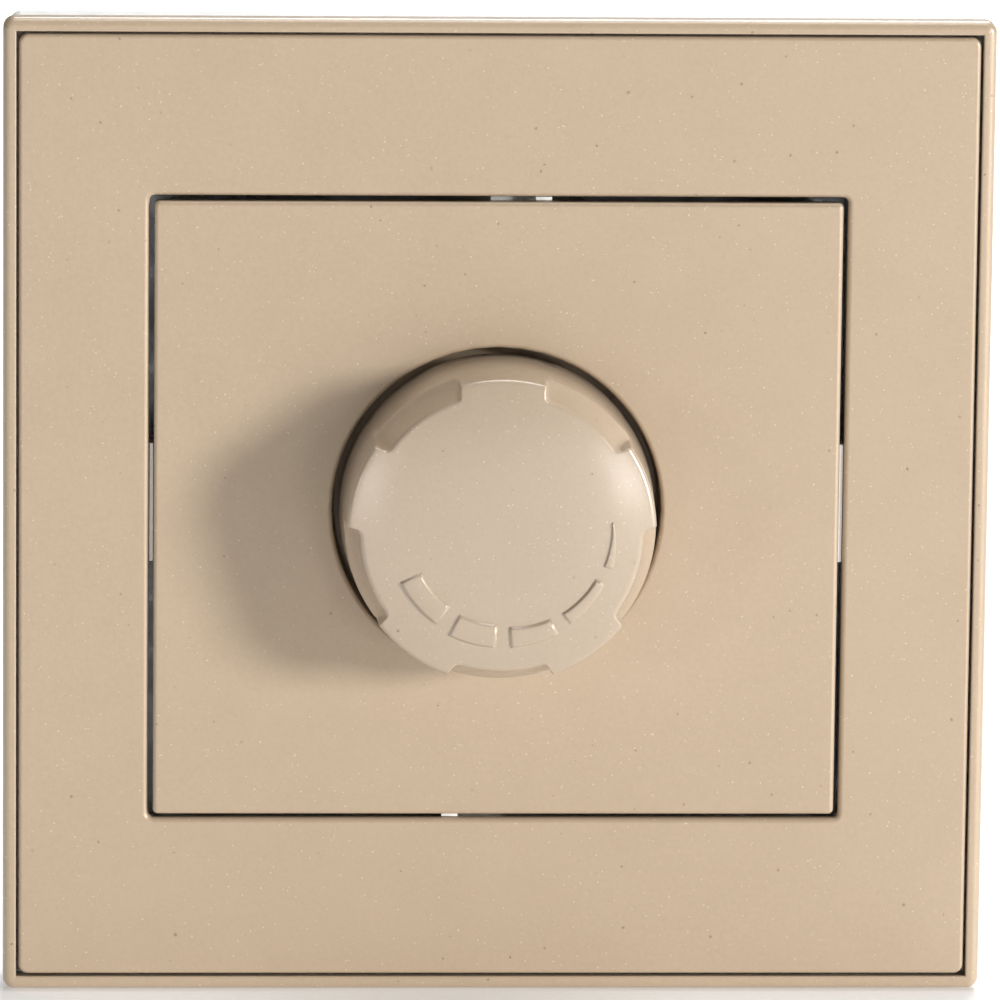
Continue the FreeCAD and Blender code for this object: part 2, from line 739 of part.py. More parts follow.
def make_centre_plate():
    """The insert: a skin with a skirt behind it and a round well, open to the front, for the knob."""
    body = new_body("centre_plate")
    skirt = new_sketch(body, "skirt_outline", "skirt_foot")
    rectangle(skirt, SKIRT_WIDTH, SKIRT_HEIGHT)
    pad(body, skirt, f"{CENTRE_FRONT} - skirt_foot", "skirt_pad")
    hollow = new_sketch(body, "skirt_hollow", f"{CENTRE_FRONT} - plate_skin")
    rectangle(hollow, f"{SKIRT_WIDTH} - 2 * skirt_wall", f"{SKIRT_HEIGHT} - 2 * skirt_wall")
    pocket(body, hollow, f"{CENTRE_FRONT} - plate_skin - skirt_foot", "skirt_hollow_cut")
    lip = new_sketch(body, "lip_outline", f"{CENTRE_FRONT} - plate_lip")
    rectangle(lip, CENTRE_WIDTH, CENTRE_HEIGHT)
    skin = pad(body, lip, "plate_lip", "lip_pad")
    half_x = size("aperture_width") / 2 - size("plate_gap")
    half_y = size("aperture_height") / 2 - size("plate_gap")
    skin = soften(body, skin, edges_where(skin, upright_at(half_x, half_y)), "aperture_corner", "lip_corners")
    front = size("frame_front") + size("plate_proud")
    skin = soften(body, skin, edges_where(skin, level_at(front, half_x, half_y)), "plate_round", "lip_round")
    well = new_sketch(body, "well_outline", NECK_FRONT)
    circle(well, f"{WELL_DIAMETER} + 2 * well_wall")
    pad(body, well, f"{CENTRE_FRONT} - {NECK_FRONT} - plate_skin / 2", "well_pad")
    bore = new_sketch(body, "well_bore", CENTRE_FRONT)
    circle(bore, WELL_DIAMETER)
    cup = pocket(body, bore, f"{CENTRE_FRONT} - {WELL_FLOOR}", "well_bore_cut")
    mouth = edges_where(cup, round_at(front, value_of(WELL_DIAMETER) / 2))
    soften(body, cup, mouth, "well_round", "well_edge")
    hole = new_sketch(body, "bush_hole", WELL_FLOOR)
    circle(hole, "bush_diameter + 2 * bush_clearance")
    pocket(body, hole, "well_floor", "bush_hole_cut")
    finish_node(body, "centre_plate")


# ---------------------------------------------------------------- knob, shaft and their clip

def make_knob():
    """A tapered cap with a flatted socket, five finger scoops and a raised scale that grows round the face."""
    body = new_body("knob")
    points = [
        ("knob_base_radius", KNOB_FOOT),
        (KNOB_FRONT_RADIUS, f"{KNOB_FRONT} - knob_edge"),
        (f"{KNOB_FRONT_RADIUS} - knob_edge", KNOB_FRONT),
        ("0", f"{KNOB_FRONT} + knob_dome"),
        ("0", "socket_end"),
        ("shaft_diameter / 2 + running_gap / 2", "socket_end"),
        ("shaft_diameter / 2 + running_gap / 2", "boss_foot"),
        ("knob_boss / 2", "boss_foot"),
        ("knob_boss / 2", f"{KNOB_FRONT} - knob_face"),
        (f"{KNOB_FRONT_RADIUS} - knob_wall", f"{KNOB_FRONT} - knob_face"),
        ("knob_base_radius - knob_wall", KNOB_FOOT),
    ]
    section = profile(body, "knob_section", points, dome=2)
    turned = body.newObject("PartDesign::Revolution", "knob_turned")
    turned.Profile = section
    turned.ReferenceAxis = (section, ["V_Axis"])
    turned.Angle = 360.0
    doc.recompute()
    scoop_points = [
        (SCOOP_RADIUS, f"{KNOB_FRONT} + 2 * knob_dome"),
        (SCOOP_RADIUS, f"{KNOB_FRONT} + knob_dome / 4"),
        (f"{SCOOP_RADIUS} + scoop_lip", f"{KNOB_FRONT} - scoop_wall"),
        ("knob_base_radius + 0.1", f"{KNOB_FRONT} - scoop_depth"),
        ("knob_base_radius + 1", f"{KNOB_FRONT} - scoop_depth"),
        ("knob_base_radius + 1", f"{KNOB_FRONT} + 2 * knob_dome"),
    ]
    scoop_section = profile(body, "scoop_section", scoop_points, turn=size("scoop_phase"))
    scoop = body.newObject("PartDesign::Groove", "scoop")
    scoop.Profile = scoop_section
    scoop.ReferenceAxis = (scoop_section, ["V_Axis"])
    scoop.Midplane = True
    scoop.setExpression("Angle", bind("scoop_span"))
    doc.recompute()
    scoops = body.newObject("PartDesign::PolarPattern", "scoops")
    scoops.Originals = [scoop]
    scoops.Axis = (plane(body, "Z_Axis"), [""])
    scoops.Angle = 360.0
    scoops.setExpression("Occurrences", bind("scoop_count"))
    body.Tip = scoops
    doc.recompute()
    flat = new_sketch(body, "socket_flat", "boss_foot", "0",
                      "-shaft_diameter / 2 + shaft_flat / 2 - 1.5 * running_gap")
    rectangle(flat, "shaft_diameter", "shaft_flat")
    pad(body, flat, "socket_end - boss_foot + 0.5", "socket_flat_pad")
    start = size("mark_start")
    for number, word in enumerate(("one", "two", "three", "four", "five")):
        span = size(f"mark_{word}")
        mark = new_sketch(body, f"mark_{word}_outline", f"{KNOB_FRONT} - knob_face / 2", turn=start + span / 2)
        ring_sector(mark, f"mark_inner + mark_growth * ({number} / 4) ^ 1.4", "mark_outer", f"mark_{word}")
        pad(body, mark, "knob_face / 2 + knob_dome / 2 + mark_relief", f"mark_{word}_pad")
        start += span + size("mark_gap")
    finish_node(body, "knob")


def make_knob_clip():
    body = new_body("knob_clip")
    ring = new_sketch(body, "clip_outline", "boss_foot + clip_setback", turn=90.0)
    ring_sector(ring, "knob_boss / 2", "knob_boss / 2 + clip_wire", "360 - clip_opening")
    pad(body, ring, "clip_length", "clip_pad")
    finish_node(body, "knob_clip")


def make_shaft():
    round_bar = rod("shaft_round", "shaft_diameter", "shaft_foot + socket_end - 0.1", z="-shaft_foot")
    flat = block("shaft_flat_cut", "shaft_diameter", "shaft_flat", "shaft_foot + socket_end",
                 y="-shaft_diameter / 2 + shaft_flat / 2 - running_gap", z="-shaft_foot - 0.05")
    finish_node(without("shaft_body", round_bar, flat), "pot_shaft")


def make_shaft_ring():
    outer = rod("ring_outer", "ring_diameter", "ring_thickness", z=f"{POT_TOP} - 0.1 - ring_thickness")
    inner = rod("ring_inner", "shaft_diameter", "ring_thickness * 2",
                z=f"{POT_TOP} - 0.1 - 1.5 * ring_thickness")
    finish_node(without("ring_body", outer, inner), "shaft_ring")


# ---------------------------------------------------------------- bush, nut and washer

def make_bush():
    thread = rod("bush_thread", "bush_diameter", f"{BUSH_TOP} - {FLANGE_TOP}", z=FLANGE_TOP)
    flange = rod("bush_flange_disc", "pot_diameter", "bush_flange", z=POT_TOP)
    bore = rod("bush_bore", SHAFT_BORE, "20", z=f"{POT_TOP} - 1")
    finish_node(without("bush_body", joined("bush_blank", thread, flange), bore), "pot_bush")


def make_bush_nut():
    blank = doc.addObject("Part::Prism", "nut_blank")
    blank.Polygon = 6
    blank.setExpression("Circumradius", bind("nut_flats / 2 / cos(30 deg)"))
    blank.setExpression("Height", bind("nut_thickness"))
    blank.setExpression("Placement.Base.z", bind(NUT_FOOT))
    bore = rod("nut_bore", "bush_diameter", "nut_thickness * 2", z=f"{NUT_FOOT} - nut_thickness / 2")
    finish_node(without("nut_body", blank, bore), "bush_nut")


def make_bush_washer():
    disc = rod("washer_disc", "washer_diameter", "washer_thickness", z=WELL_FLOOR)
    bore = rod("washer_bore", "bush_diameter + 2 * bush_clearance", "washer_thickness * 3",
               z=f"{WELL_FLOOR} - washer_thickness")
    finish_node(without("washer_body", disc, bore), "bush_washer")


# ---------------------------------------------------------------- potentiometer and push switch

def make_pot_body():
    body = new_body("pot_body")
    outline = new_sketch(body, "pot_outline", POT_FOOT)
    circle(outline, "pot_diameter")
    pad(body, outline, f"{POT_TOP} - {POT_FOOT}", "pot_pad")
    hollow = new_sketch(body, "pot_hollow", POT_TOP)
    circle(hollow, "pot_diameter - 2 * pot_wall")
    pocket(body, hollow, f"{POT_TOP} - {POT_FOOT} - pot_wall", "pot_hollow_cut")
    hole = new_sketch(body, "pot_hole", f"{POT_FOOT} + pot_wall")
    circle(hole, "shaft_diameter + 1")
    pocket(body, hole, "pot_wall", "pot_hole_cut")
    stop_foot = f"{POT_FOOT} + pot_wall + track_thickness + rotor_lift + 2 * running_gap"
    stop = new_sketch(body, "pot_stop", stop_foot, turn=-90.0)
    ring_sector(stop, "rotor_diameter / 2 + 0.3", "pot_diameter / 2 - pot_wall / 2", "body_stop_span")
    pad(body, stop, "rotor_thickness", "pot_stop_pad")
    finish_node(body, "pot_body")


def make_resistive_track():
    body = new_body("resistive_track")
    ring = new_sketch(body, "track_outline", f"{POT_FOOT} + pot_wall", turn=90.0)
    ring_sector(ring, "track_inner / 2", "track_outer / 2", "track_span")
    pad(body, ring, "track_thickness", "track_pad")
    finish_node(body, "resistive_track")


def make_wiper_rotor():
    """The disc that the flatted shaft turns and slides through, with the tab that meets the end stop."""
    foot = f"({POT_FOOT} + pot_wall + track_thickness + rotor_lift)"
    disc = rod("rotor_disc", "rotor_diameter", "rotor_thickness", z=foot)
    bore = rod("rotor_bore", SHAFT_BORE, "rotor_thickness * 3", z=f"{foot} - rotor_thickness")
    land = block("rotor_bore_flat", "shaft_diameter * 2", "shaft_diameter", "rotor_thickness * 4",
                 y="-shaft_diameter + shaft_flat - 2 * running_gap", z=f"{foot} - rotor_thickness * 1.5")
    keyed_bore = without("rotor_bore_keyed", bore, land)
    body = new_body("rotor_tab")
    tab = new_sketch(body, "rotor_tab_outline", foot, turn=90.0)
    ring_sector(tab, "rotor_diameter / 2 - 0.5", "stop_reach", "rotor_stop_span")
    pad(body, tab, "rotor_thickness", "rotor_tab_pad")
    finish_node(without("rotor_body", joined("rotor_blank", disc, body), keyed_bore), "wiper_rotor")


def make_wiper_contact():
    foot = f"({POT_FOOT} + pot_wall + track_thickness + wiper_gap)"
    disc = rod("wiper_disc", "rotor_diameter - 2 * wiper_metal", "wiper_metal",
               z=f"{foot} + rotor_lift - wiper_gap - wiper_metal")
    bore = rod("wiper_bore", "shaft_diameter + 4 * wiper_metal", "2 * rotor_lift", z=f"{foot} - wiper_metal")
    ring = without("wiper_ring", disc, bore)
    fingers = []
    for side in (-1, 1):
        word = "a" if side < 0 else "b"
        fingers.append(block(f"wiper_finger_{word}", "finger_width", "finger_width", "rotor_lift - wiper_gap",
                             x=f"{side} * finger_x", y="finger_y", z=foot))
    finish_node(joined("wiper_body", ring, *fingers), "wiper_contact")


def make_switch_case():
    case = block("case_blank", "switch_size", "switch_size", "switch_depth", z=f"{BOARD_BACK} - switch_depth")
    bore = rod("case_bore", "switch_bore", "switch_depth", z=f"{BOARD_BACK} - switch_depth + switch_floor")
    finish_node(without("case_body", case, bore), "switch_case")


def make_switch_plunger():
    length = f"-shaft_foot - plunger_gap - {PLUNGER_SHOULDER}"
    stem = rod("plunger_stem", "plunger_rod", length, z=PLUNGER_SHOULDER)
    collar = rod("plunger_collar_disc", "plunger_collar", "plunger_collar_length",
                 z=f"{PLUNGER_SHOULDER} - plunger_collar_length")
    finish_node(joined("plunger_body", stem, collar), "switch_plunger")


def make_switch_spring():
    foot = f"({BOARD_BACK} - switch_depth + switch_floor)"
    length = f"{PLUNGER_SHOULDER} - plunger_collar_length - {foot}"
    outer = rod("spring_tube", "spring_outer", length, z=foot)
    inner = rod("spring_core", "spring_inner", f"{length} + 2", z=f"{foot} - 1")
    finish_node(without("spring_body", outer, inner), "switch_spring")


# ---------------------------------------------------------------- yoke and housing

def octagon_pad(body, name, width, height, corner, foot, length):
    outline = new_sketch(body, f"{name}_outline", foot)
    octagon(outline, width, height, corner)
    return pad(body, outline, length, f"{name}_pad")


def octagon_pocket(body, name, width, height, corner, top, depth):
    outline = new_sketch(body, f"{name}_outline", top)
    octagon(outline, width, height, corner)
    return pocket(body, outline, depth, f"{name}_cut")


def drill(body, name, diameter, top, depth, x, y):
    sketch = new_sketch(body, name, top, x, y)
    circle(sketch, diameter)
    return pocket(body, sketch, depth, f"{name}_cut")


def slot_cut(body, name, length, width, top, depth, x, y):
    """A slot with round ends, as a straight cut and a hole at each end."""
    straight = new_sketch(body, name, top, x, y)
    lengthwise = value_of(length) > value_of(width)
    if lengthwise:
        rectangle(straight, f"{length} - {width}", width)
    else:
        rectangle(straight, length, f"{width} - {length}")
    pocket(body, straight, depth, f"{name}_cut")
    for side in (-1, 1):
        word = "low" if side < 0 else "high"
        reach = f"{side} * ({length} - {width}) / 2"
        if lengthwise:
            drill(body, f"{name}_{word}", width, top, depth, f"{x} + {reach}", y)
        else:
            reach = f"{side} * ({width} - {length}) / 2"
            drill(body, f"{name}_{word}", length, top, depth, x, f"{y} + {reach}")


def make_yoke():
    """The steel plate behind the cover: a neck opening, four box-screw slots and ears for the claws."""
    body = new_body("mounting_yoke")
    octagon_pad(body, "yoke", "yoke_size", "yoke_size", "yoke_corner", "0", "yoke_thickness")
    octagon_pocket(body, "yoke_opening", f"{NECK_WIDTH} + 2 * yoke_clearance",
                   f"{NECK_HEIGHT} + 2 * yoke_clearance",
                   "neck_corner", "yoke_thickness", "yoke_thickness")
    number = 0
    for side in (-1, 1):
        word = "minus" if side < 0 else "plus"
        slot_cut(body, f"box_slot_x_{word}", "box_slot_length", "box_slot_width", "yoke_thickness",
                 "yoke_thickness", f"{side} * box_pitch / 2", "0")
        slot_cut(body, f"box_slot_y_{word}", "box_slot_width", "box_slot_length", "yoke_thickness",
                 "yoke_thickness", "0", f"{side} * box_pitch / 2")
        drill(body, f"claw_hole_{word}", "claw_screw_diameter + 0.3", "yoke_thickness", "yoke_thickness",
              f"{side} * {CLAW_SCREW_X}", "0")
        for end in (-1, 1):
            number += 1
            drill(body, f"yoke_screw_{number}", "screw_diameter + 0.2", "yoke_thickness", "yoke_thickness",
                  f"{side} * {SCREW_X}", f"{end} * {SCREW_Y}")
    for side in (-1, 1):
        for end in (-1, 1):
            number += 1
            ear = new_sketch(body, f"ear_{number}", "-ear_drop", f"{side} * {CLAW_PIN_X}",
                             f"{end} * (ear_inner + ear_thickness / 2)")
            rectangle(ear, "ear_width", "ear_thickness")
            pad(body, ear, "ear_drop + yoke_thickness / 2", f"ear_pad_{number}")
    blank = body
    holes = []
    for side in (-1, 1):
        word = "left" if side < 0 else "right"
        holes.append(rod(f"ear_hole_{word}", "claw_pin_diameter", "claw_pin_length + 2",
                         f"{side} * {CLAW_PIN_X}",
                         "-claw_pin_length / 2 - 1", "-claw_pin_drop", along="y"))
    blank.Label = "yoke_blank"
    finish_node(without("yoke_body", blank, *holes), "mounting_yoke")


def make_housing_front():
    """The module's front cover: a neck through the yoke and a flange behind it."""
    inner = "2 * housing_wall"
    body = new_body("housing_front")
    octagon_pad(body, "flange", "housing_width", "housing_height", "housing_corner", "-front_depth",
                "front_depth")
    octagon_pad(body, "neck", NECK_WIDTH, NECK_HEIGHT, "neck_corner", "-housing_wall",
                f"housing_wall + {NECK_FRONT}")
    octagon_pocket(body, "neck_hollow", f"{NECK_WIDTH} - {inner}", f"{NECK_HEIGHT} - {inner}", "neck_corner",
                   FLANGE_TOP, f"{FLANGE_TOP} + front_depth")
    drill(body, "bush_passage", "bush_diameter + 2 * bush_clearance", NECK_FRONT, "housing_wall", "0", "0")
    number = 0
    for side in (-1, 1):
        for end in (-1, 1):
            number += 1
            drill(body, f"front_screw_{number}", "screw_diameter", "0", "front_depth", f"{side} * {SCREW_X}",
                  f"{end} * {SCREW_Y}")
    finish_node(body, "housing_front")


def make_housing_rear():
    """The deep rear shell with its screw bosses, wire entries, screwdriver holes and cooling slots."""
    inner = "2 * housing_wall"
    floor = "(-rear_depth)"
    body = new_body("housing_rear")
    octagon_pad(body, "shell", "housing_width", "housing_height", "housing_corner", floor,
                "rear_depth - front_depth")
    octagon_pocket(body, "shell_hollow", f"housing_width - {inner}", f"housing_height - {inner}",
                   "hollow_corner", "-front_depth", "rear_depth - front_depth - housing_wall")
    number = 0
    for side in (-1, 1):
        for end in (-1, 1):
            number += 1
            x = f"{side} * {SCREW_X}"
            y = f"{end} * {SCREW_Y}"
            boss = new_sketch(body, f"boss_{number}", "-front_depth - screw_boss_length", x, y)
            circle(boss, "screw_boss")
            pad(body, boss, "screw_boss_length", f"boss_pad_{number}")
            web = new_sketch(body, f"boss_web_{number}", "-front_depth - screw_boss_length",
                             f"{side} * ({SCREW_X} + housing_width / 2) / 2", y)
            rectangle(web, f"housing_width / 2 - {SCREW_X} - 0.2", "housing_wall")
            pad(body, web, "screw_boss_length", f"boss_web_pad_{number}")
            drill(body, f"rear_screw_{number}", "screw_diameter", "-front_depth",
                  "screw_boss_length - screw_boss_floor", x, y)
    guide = new_sketch(body, "wire_guide", "-rear_depth + housing_wall / 2", "0", "-wire_y")
    rectangle(guide, "2 * terminal_pitch + cage_width + guide_margin", "wire_hole + guide_margin")
    pad(body, guide, "housing_wall / 2 + guide_depth", "wire_guide_pad")
    for place in (-1, 0, 1):
        word = ("left", "middle", "right")[place + 1]
        x = f"{place} * terminal_pitch"
        drill(body, f"wire_entry_{word}", "wire_hole", "-rear_depth + housing_wall + guide_depth",
              "housing_wall + guide_depth", x, "-wire_y")
    for place in range(4):
        y = f"vent_y + {place - 1.5} * vent_pitch"
        slot_cut(body, f"vent_{place}", "vent_length", "vent_width", "-rear_depth + housing_wall",
                 "housing_wall", "vent_x", y)
    accesses = []
    for place in (-1, 0, 1):
        word = ("left", "middle", "right")[place + 1]
        accesses.append(rod(f"access_{word}", "clamp_access", "housing_wall * 2", f"{place} * terminal_pitch",
                            "-housing_height / 2 - housing_wall / 2", CAGE_MIDDLE, along="y"))
    body.Label = "rear_blank"
    finish_node(without("rear_body", body, *accesses), "housing_rear")


def make_housing_screws():
    screws = []
    number = 0
    for side in (-1, 1):
        for end in (-1, 1):
            number += 1
            x = f"{side} * {SCREW_X}"
            y = f"{end} * {SCREW_Y}"
            shank = rod(f"screw_shank_{number}", "screw_diameter", "screw_length", x, y,
                        "yoke_thickness - screw_length")
            head = rod(f"screw_head_{number}", "screw_head", "screw_head_height", x, y, "yoke_thickness")
            blade = block(f"screw_blade_{number}", "screw_head", "screw_slot", "screw_slot * 1.1", x, y,
                          "yoke_thickness + screw_head_height - screw_slot")
            screws.append(without(f"screw_{number}", joined(f"screw_blank_{number}", shank, head), blade))
    finish_node(group("housing_screw_set", *screws), "housing_screws")


# ---------------------------------------------------------------- board and its components

def make_board():
    body = new_body("pcb")
    octagon_pad(body, "board", BOARD_WIDTH, BOARD_HEIGHT, "board_corner", BOARD_BACK, "board_thickness")
    drill(body, "plunger_hole", "shaft_diameter + 1", "-board_front", "board_thickness", "0", "0")
    finish_node(body, "pcb")


def leads(name, places, length):
    """Wire legs from the back of the board into a component."""
    legs = []
    for number, (x, y) in enumerate(places):
        legs.append(rod(f"{name}_lead_{number}", "lead_diameter", length, x, y, f"{BOARD_BACK} - ({length})"))
    return legs


def make_triac():
    x = "(sink_face - triac_thickness / 2)"
    foot = f"({BOARD_BACK} - triac_lift - triac_length)"
    case = block("triac_case", "triac_thickness", "triac_width", "triac_length * 0.6",
                 x=x, z=f"{foot} + triac_length * 0.4")
    tab = block("triac_tab_plate", "triac_tab", "triac_width", "triac_length", x="sink_face - triac_tab / 2",
                z=foot)
    legs = leads("triac", [(x, f"{step} * triac_pitch") for step in (-1, 0, 1)], "triac_lift + standoff")
    hole = rod("triac_hole", "triac_tab_hole", "triac_thickness * 2", "sink_face - triac_thickness * 1.5", "0",
               f"{foot} + triac_length * 0.2", along="x")
    finish_node(without("triac_body", joined("triac_blank", case, tab, *legs), hole), "triac")


def make_heat_sink():
    foot = f"({BOARD_BACK} - sink_lift - sink_length)"
    middle = f"{BOARD_BACK} - triac_lift - triac_length * 0.8"
    slab = block("sink_slab", "sink_thickness", "sink_width", "sink_length", "sink_face + sink_thickness / 2",
                 "0", foot)
    fins = []
    for side in (-1, 1):
        word = "low" if side < 0 else "high"
        fins.append(block(f"sink_fin_{word}", "sink_fin", "sink_thickness", "sink_length",
                          "sink_face + sink_thickness - sink_fin / 2",
                          f"{side} * (sink_width - sink_thickness) / 2", foot))
    hole = rod("sink_hole", "sink_screw", "sink_thickness * 3", "sink_face - sink_thickness", "0", middle,
               along="x")
    finish_node(without("sink_body", joined("sink_blank", slab, *fins), hole), "heat_sink")


def make_triac_screw():
    middle = f"({BOARD_BACK} - triac_lift - triac_length * 0.8)"
    shank = rod("sink_screw_shank", "sink_screw", "triac_tab + sink_thickness + leg_reach",
                "sink_face - triac_tab", "0", middle, along="x")
    head = rod("sink_screw_head_disc", "sink_screw_head", "sink_screw_head_height",
               "sink_face - triac_tab - sink_screw_head_height", "0", middle, along="x")
    finish_node(joined("sink_screw_body", shank, head), "triac_screw")


def make_choke():
    foot = f"({BOARD_BACK} - choke_lift - choke_height)"
    outer = rod("core_outer", "choke_outer", "choke_height", "-choke_x", "choke_y", foot)
    inner = rod("core_inner", "choke_inner", "choke_height * 2", "-choke_x", "choke_y",
                f"{foot} - choke_height / 2")
    finish_node(without("core_body", outer, inner), "choke_core")
    body = new_body("winding_blank")
    turns = new_sketch(body, "winding_outline", f"{foot} - winding_build", "-choke_x", "choke_y", turn=90.0)
    ring_sector(turns, "choke_inner / 2 - winding_build", "choke_outer / 2 + winding_build", "winding_span")
    pad(body, turns, "choke_height + 2 * winding_build", "winding_pad")
    passage_outer = rod("passage_outer", "choke_outer", "choke_height", "-choke_x", "choke_y", foot)
    passage_inner = rod("passage_inner", "choke_inner", "choke_height * 2", "-choke_x", "choke_y",
                        f"{foot} - choke_height / 2")
    passage = without("winding_passage", passage_outer, passage_inner)
    finish_node(without("winding_body", body, passage), "choke_winding")


def make_capacitors():
    case = block("film_case", "film_length", "film_width", "film_height", "film_x", "film_y",
                 f"{BOARD_BACK} - standoff - film_height")
    legs = leads("film", [(f"film_x + {side} * film_pitch / 2", "film_y") for side in (-1, 1)], "2 * standoff")
    finish_node(joined("film_body", case, *legs), "film_capacitor")
    case = block("timing_case", "timing_width", "timing_length", "timing_height", "-timing_x", "0",
                 f"{BOARD_BACK} - standoff - timing_height")
    legs = leads("timing", [("-timing_x", f"{side} * timing_pitch / 2") for side in (-1, 1)], "2 * standoff")
    finish_node(joined("timing_body", case, *legs), "timing_capacitor")


def axial(name, diameter, length, x, y):
    """A component lying along x above the board's back, with bent legs at both ends."""
    middle = f"({BOARD_BACK} - standoff - ({diameter}) / 2)"
    case = rod(f"{name}_case", diameter, length, f"{x} - ({length}) / 2", y, middle, along="x")
    wire = rod(f"{name}_wire", "lead_diameter - 2 * running_gap", f"{length} + 2 * leg_reach",
               f"{x} - ({length}) / 2 - leg_reach", y, middle, along="x")
    legs = leads(name, [(f"{x} + {side} * (({length}) / 2 + leg_reach)", y) for side in (-1, 1)],
                 f"standoff + running_gap + ({diameter}) / 2 + lead_diameter / 2")
    return joined(f"{name}_body", case, wire, *legs)


def make_small_parts():
    places = (("resistor_x", "diac_y"), ("resistor_x", "resistor_y"), ("-timing_x", "-diac_y"))
    resistors = []
    for number, (x, y) in enumerate(places):
        resistors.append(axial(f"resistor_{number}", "resistor_diameter", "resistor_length", x, y))
    finish_node(group("resistor_set", *resistors), "resistors")
    finish_node(axial("diac_part", "diac_diameter", "diac_length", "diac_x", "-diac_y"), "diac")


def make_fuse():
    middle = f"({BOARD_BACK} - fuse_lift)"
    start = "-fuse_y - fuse_length / 2"
    inside_diameter = "fuse_diameter - 2 * cap_metal"
    tube = rod("glass_outer", inside_diameter, "fuse_length - 2 * tube_inset", "-fuse_x",
               f"{start} + tube_inset", middle, along="y")
    hollow = rod("glass_inner", f"{inside_diameter} - 2 * fuse_glass", "fuse_length", "-fuse_x", start, middle,
                 along="y")
    finish_node(without("glass_body", tube, hollow), "fuse_tube")
    caps = []
    clips = []
    for side in (-1, 1):
        word = "low" if side < 0 else "high"
        cap_start = start if side < 0 else "-fuse_y + fuse_length / 2 - fuse_cap"
        hollow_start = f"{cap_start} - {side} * tube_inset"
        cap = rod(f"cap_{word}_outer", "fuse_diameter", "fuse_cap", "-fuse_x", cap_start, middle, along="y")
        inside = rod(f"cap_{word}_inner", inside_diameter, "fuse_cap", "-fuse_x", hollow_start, middle,
                     along="y")
        caps.append(without(f"cap_{word}", cap, inside))
        clip_y = f"(-fuse_y + {side} * (fuse_length / 2 - fuse_cap / 2))"
        yoke = block(f"clip_{word}_blank", "fuse_diameter + 2 * clip_metal", "fuse_cap - clip_margin",
                     "fuse_lift + clip_grip", "-fuse_x", clip_y, f"{middle} - clip_grip")
        room = rod(f"clip_{word}_room", "fuse_diameter", "fuse_cap", "-fuse_x", f"{clip_y} - fuse_cap / 2",
                   middle, along="y")
        mouth = block(f"clip_{word}_mouth", "fuse_diameter - clip_metal", "fuse_cap", "fuse_lift", "-fuse_x",
                      clip_y, f"{middle} - fuse_lift")
        gap = block(f"clip_{word}_gap", "fuse_diameter - clip_metal", "fuse_cap",
                    "fuse_lift - fuse_diameter / 2 - tube_inset", "-fuse_x", clip_y,
                    f"{middle} + fuse_diameter / 2 - clip_metal")
        clips.append(without(f"clip_{word}", yoke, room, mouth, gap))
    finish_node(group("cap_set", *caps), "fuse_caps")
    finish_node(group("clip_set", *clips), "fuse_clips")


# ---------------------------------------------------------------- terminals

def make_terminals():
    """Rising clamps: each captive screw draws its cage down and traps the wire against the fixed bar."""
    bars = []
    cage_floor_top = f"(-{BAR_FACE} - bar_thickness - cage_lift)"
    for place in (-1, 0, 1):
        number = place + 2
        x = f"{place} * terminal_pitch"
        bars.append(block(f"bar_{number}", "bar_width", "bar_thickness",
                          f"{BOARD_BACK} - {CAGE_BACK} + bar_overlap", x,
                          f"-{BAR_FACE} - bar_thickness / 2", f"{CAGE_BACK} - bar_overlap"))
        outer_height = "(cage_opening + cage_floor + cage_wall)"
        cage_y = f"({cage_floor_top} - cage_floor + {outer_height} / 2)"
        blank = block(f"cage_{number}_blank", "cage_width", outer_height, "cage_depth", x, cage_y, CAGE_BACK)
        room = block(f"cage_{number}_room", "cage_width - 2 * cage_wall", "cage_opening", "cage_depth * 2", x,
                     f"{cage_floor_top} + cage_opening / 2", f"{CAGE_BACK} - cage_depth / 2")
        thread = rod(f"cage_{number}_thread", "clamp_screw + 2 * running_gap", "cage_floor * 2", x,
                     f"{cage_floor_top} - cage_floor * 1.5", CAGE_MIDDLE, along="y")
        finish_node(without(f"cage_{number}", blank, room, thread), f"terminal_cage_{number}")
        head_face = "(-housing_height / 2 + clamp_head_sink)"
        shoulder = f"({head_face} + clamp_head_height)"
        reach = f"-{BAR_FACE} - bar_thickness - 2 * running_gap - {shoulder}"
        shank = rod(f"clamp_{number}_shank", "clamp_screw", reach, x, shoulder, CAGE_MIDDLE, along="y")
        head = rod(f"clamp_{number}_head", "clamp_head", "clamp_head_height", x, head_face, CAGE_MIDDLE,
                   along="y")
        blade = block(f"clamp_{number}_blade", "clamp_head", "clamp_slot", "slot_blade", x, head_face,
                      f"{CAGE_MIDDLE} - slot_blade / 2")
        screw = without(f"clamp_{number}", joined(f"clamp_{number}_blank", shank, head), blade)
        finish_node(screw, f"terminal_screw_{number}")
    finish_node(group("bar_set", *bars), "terminal_bars")


# ---------------------------------------------------------------- spreading claws

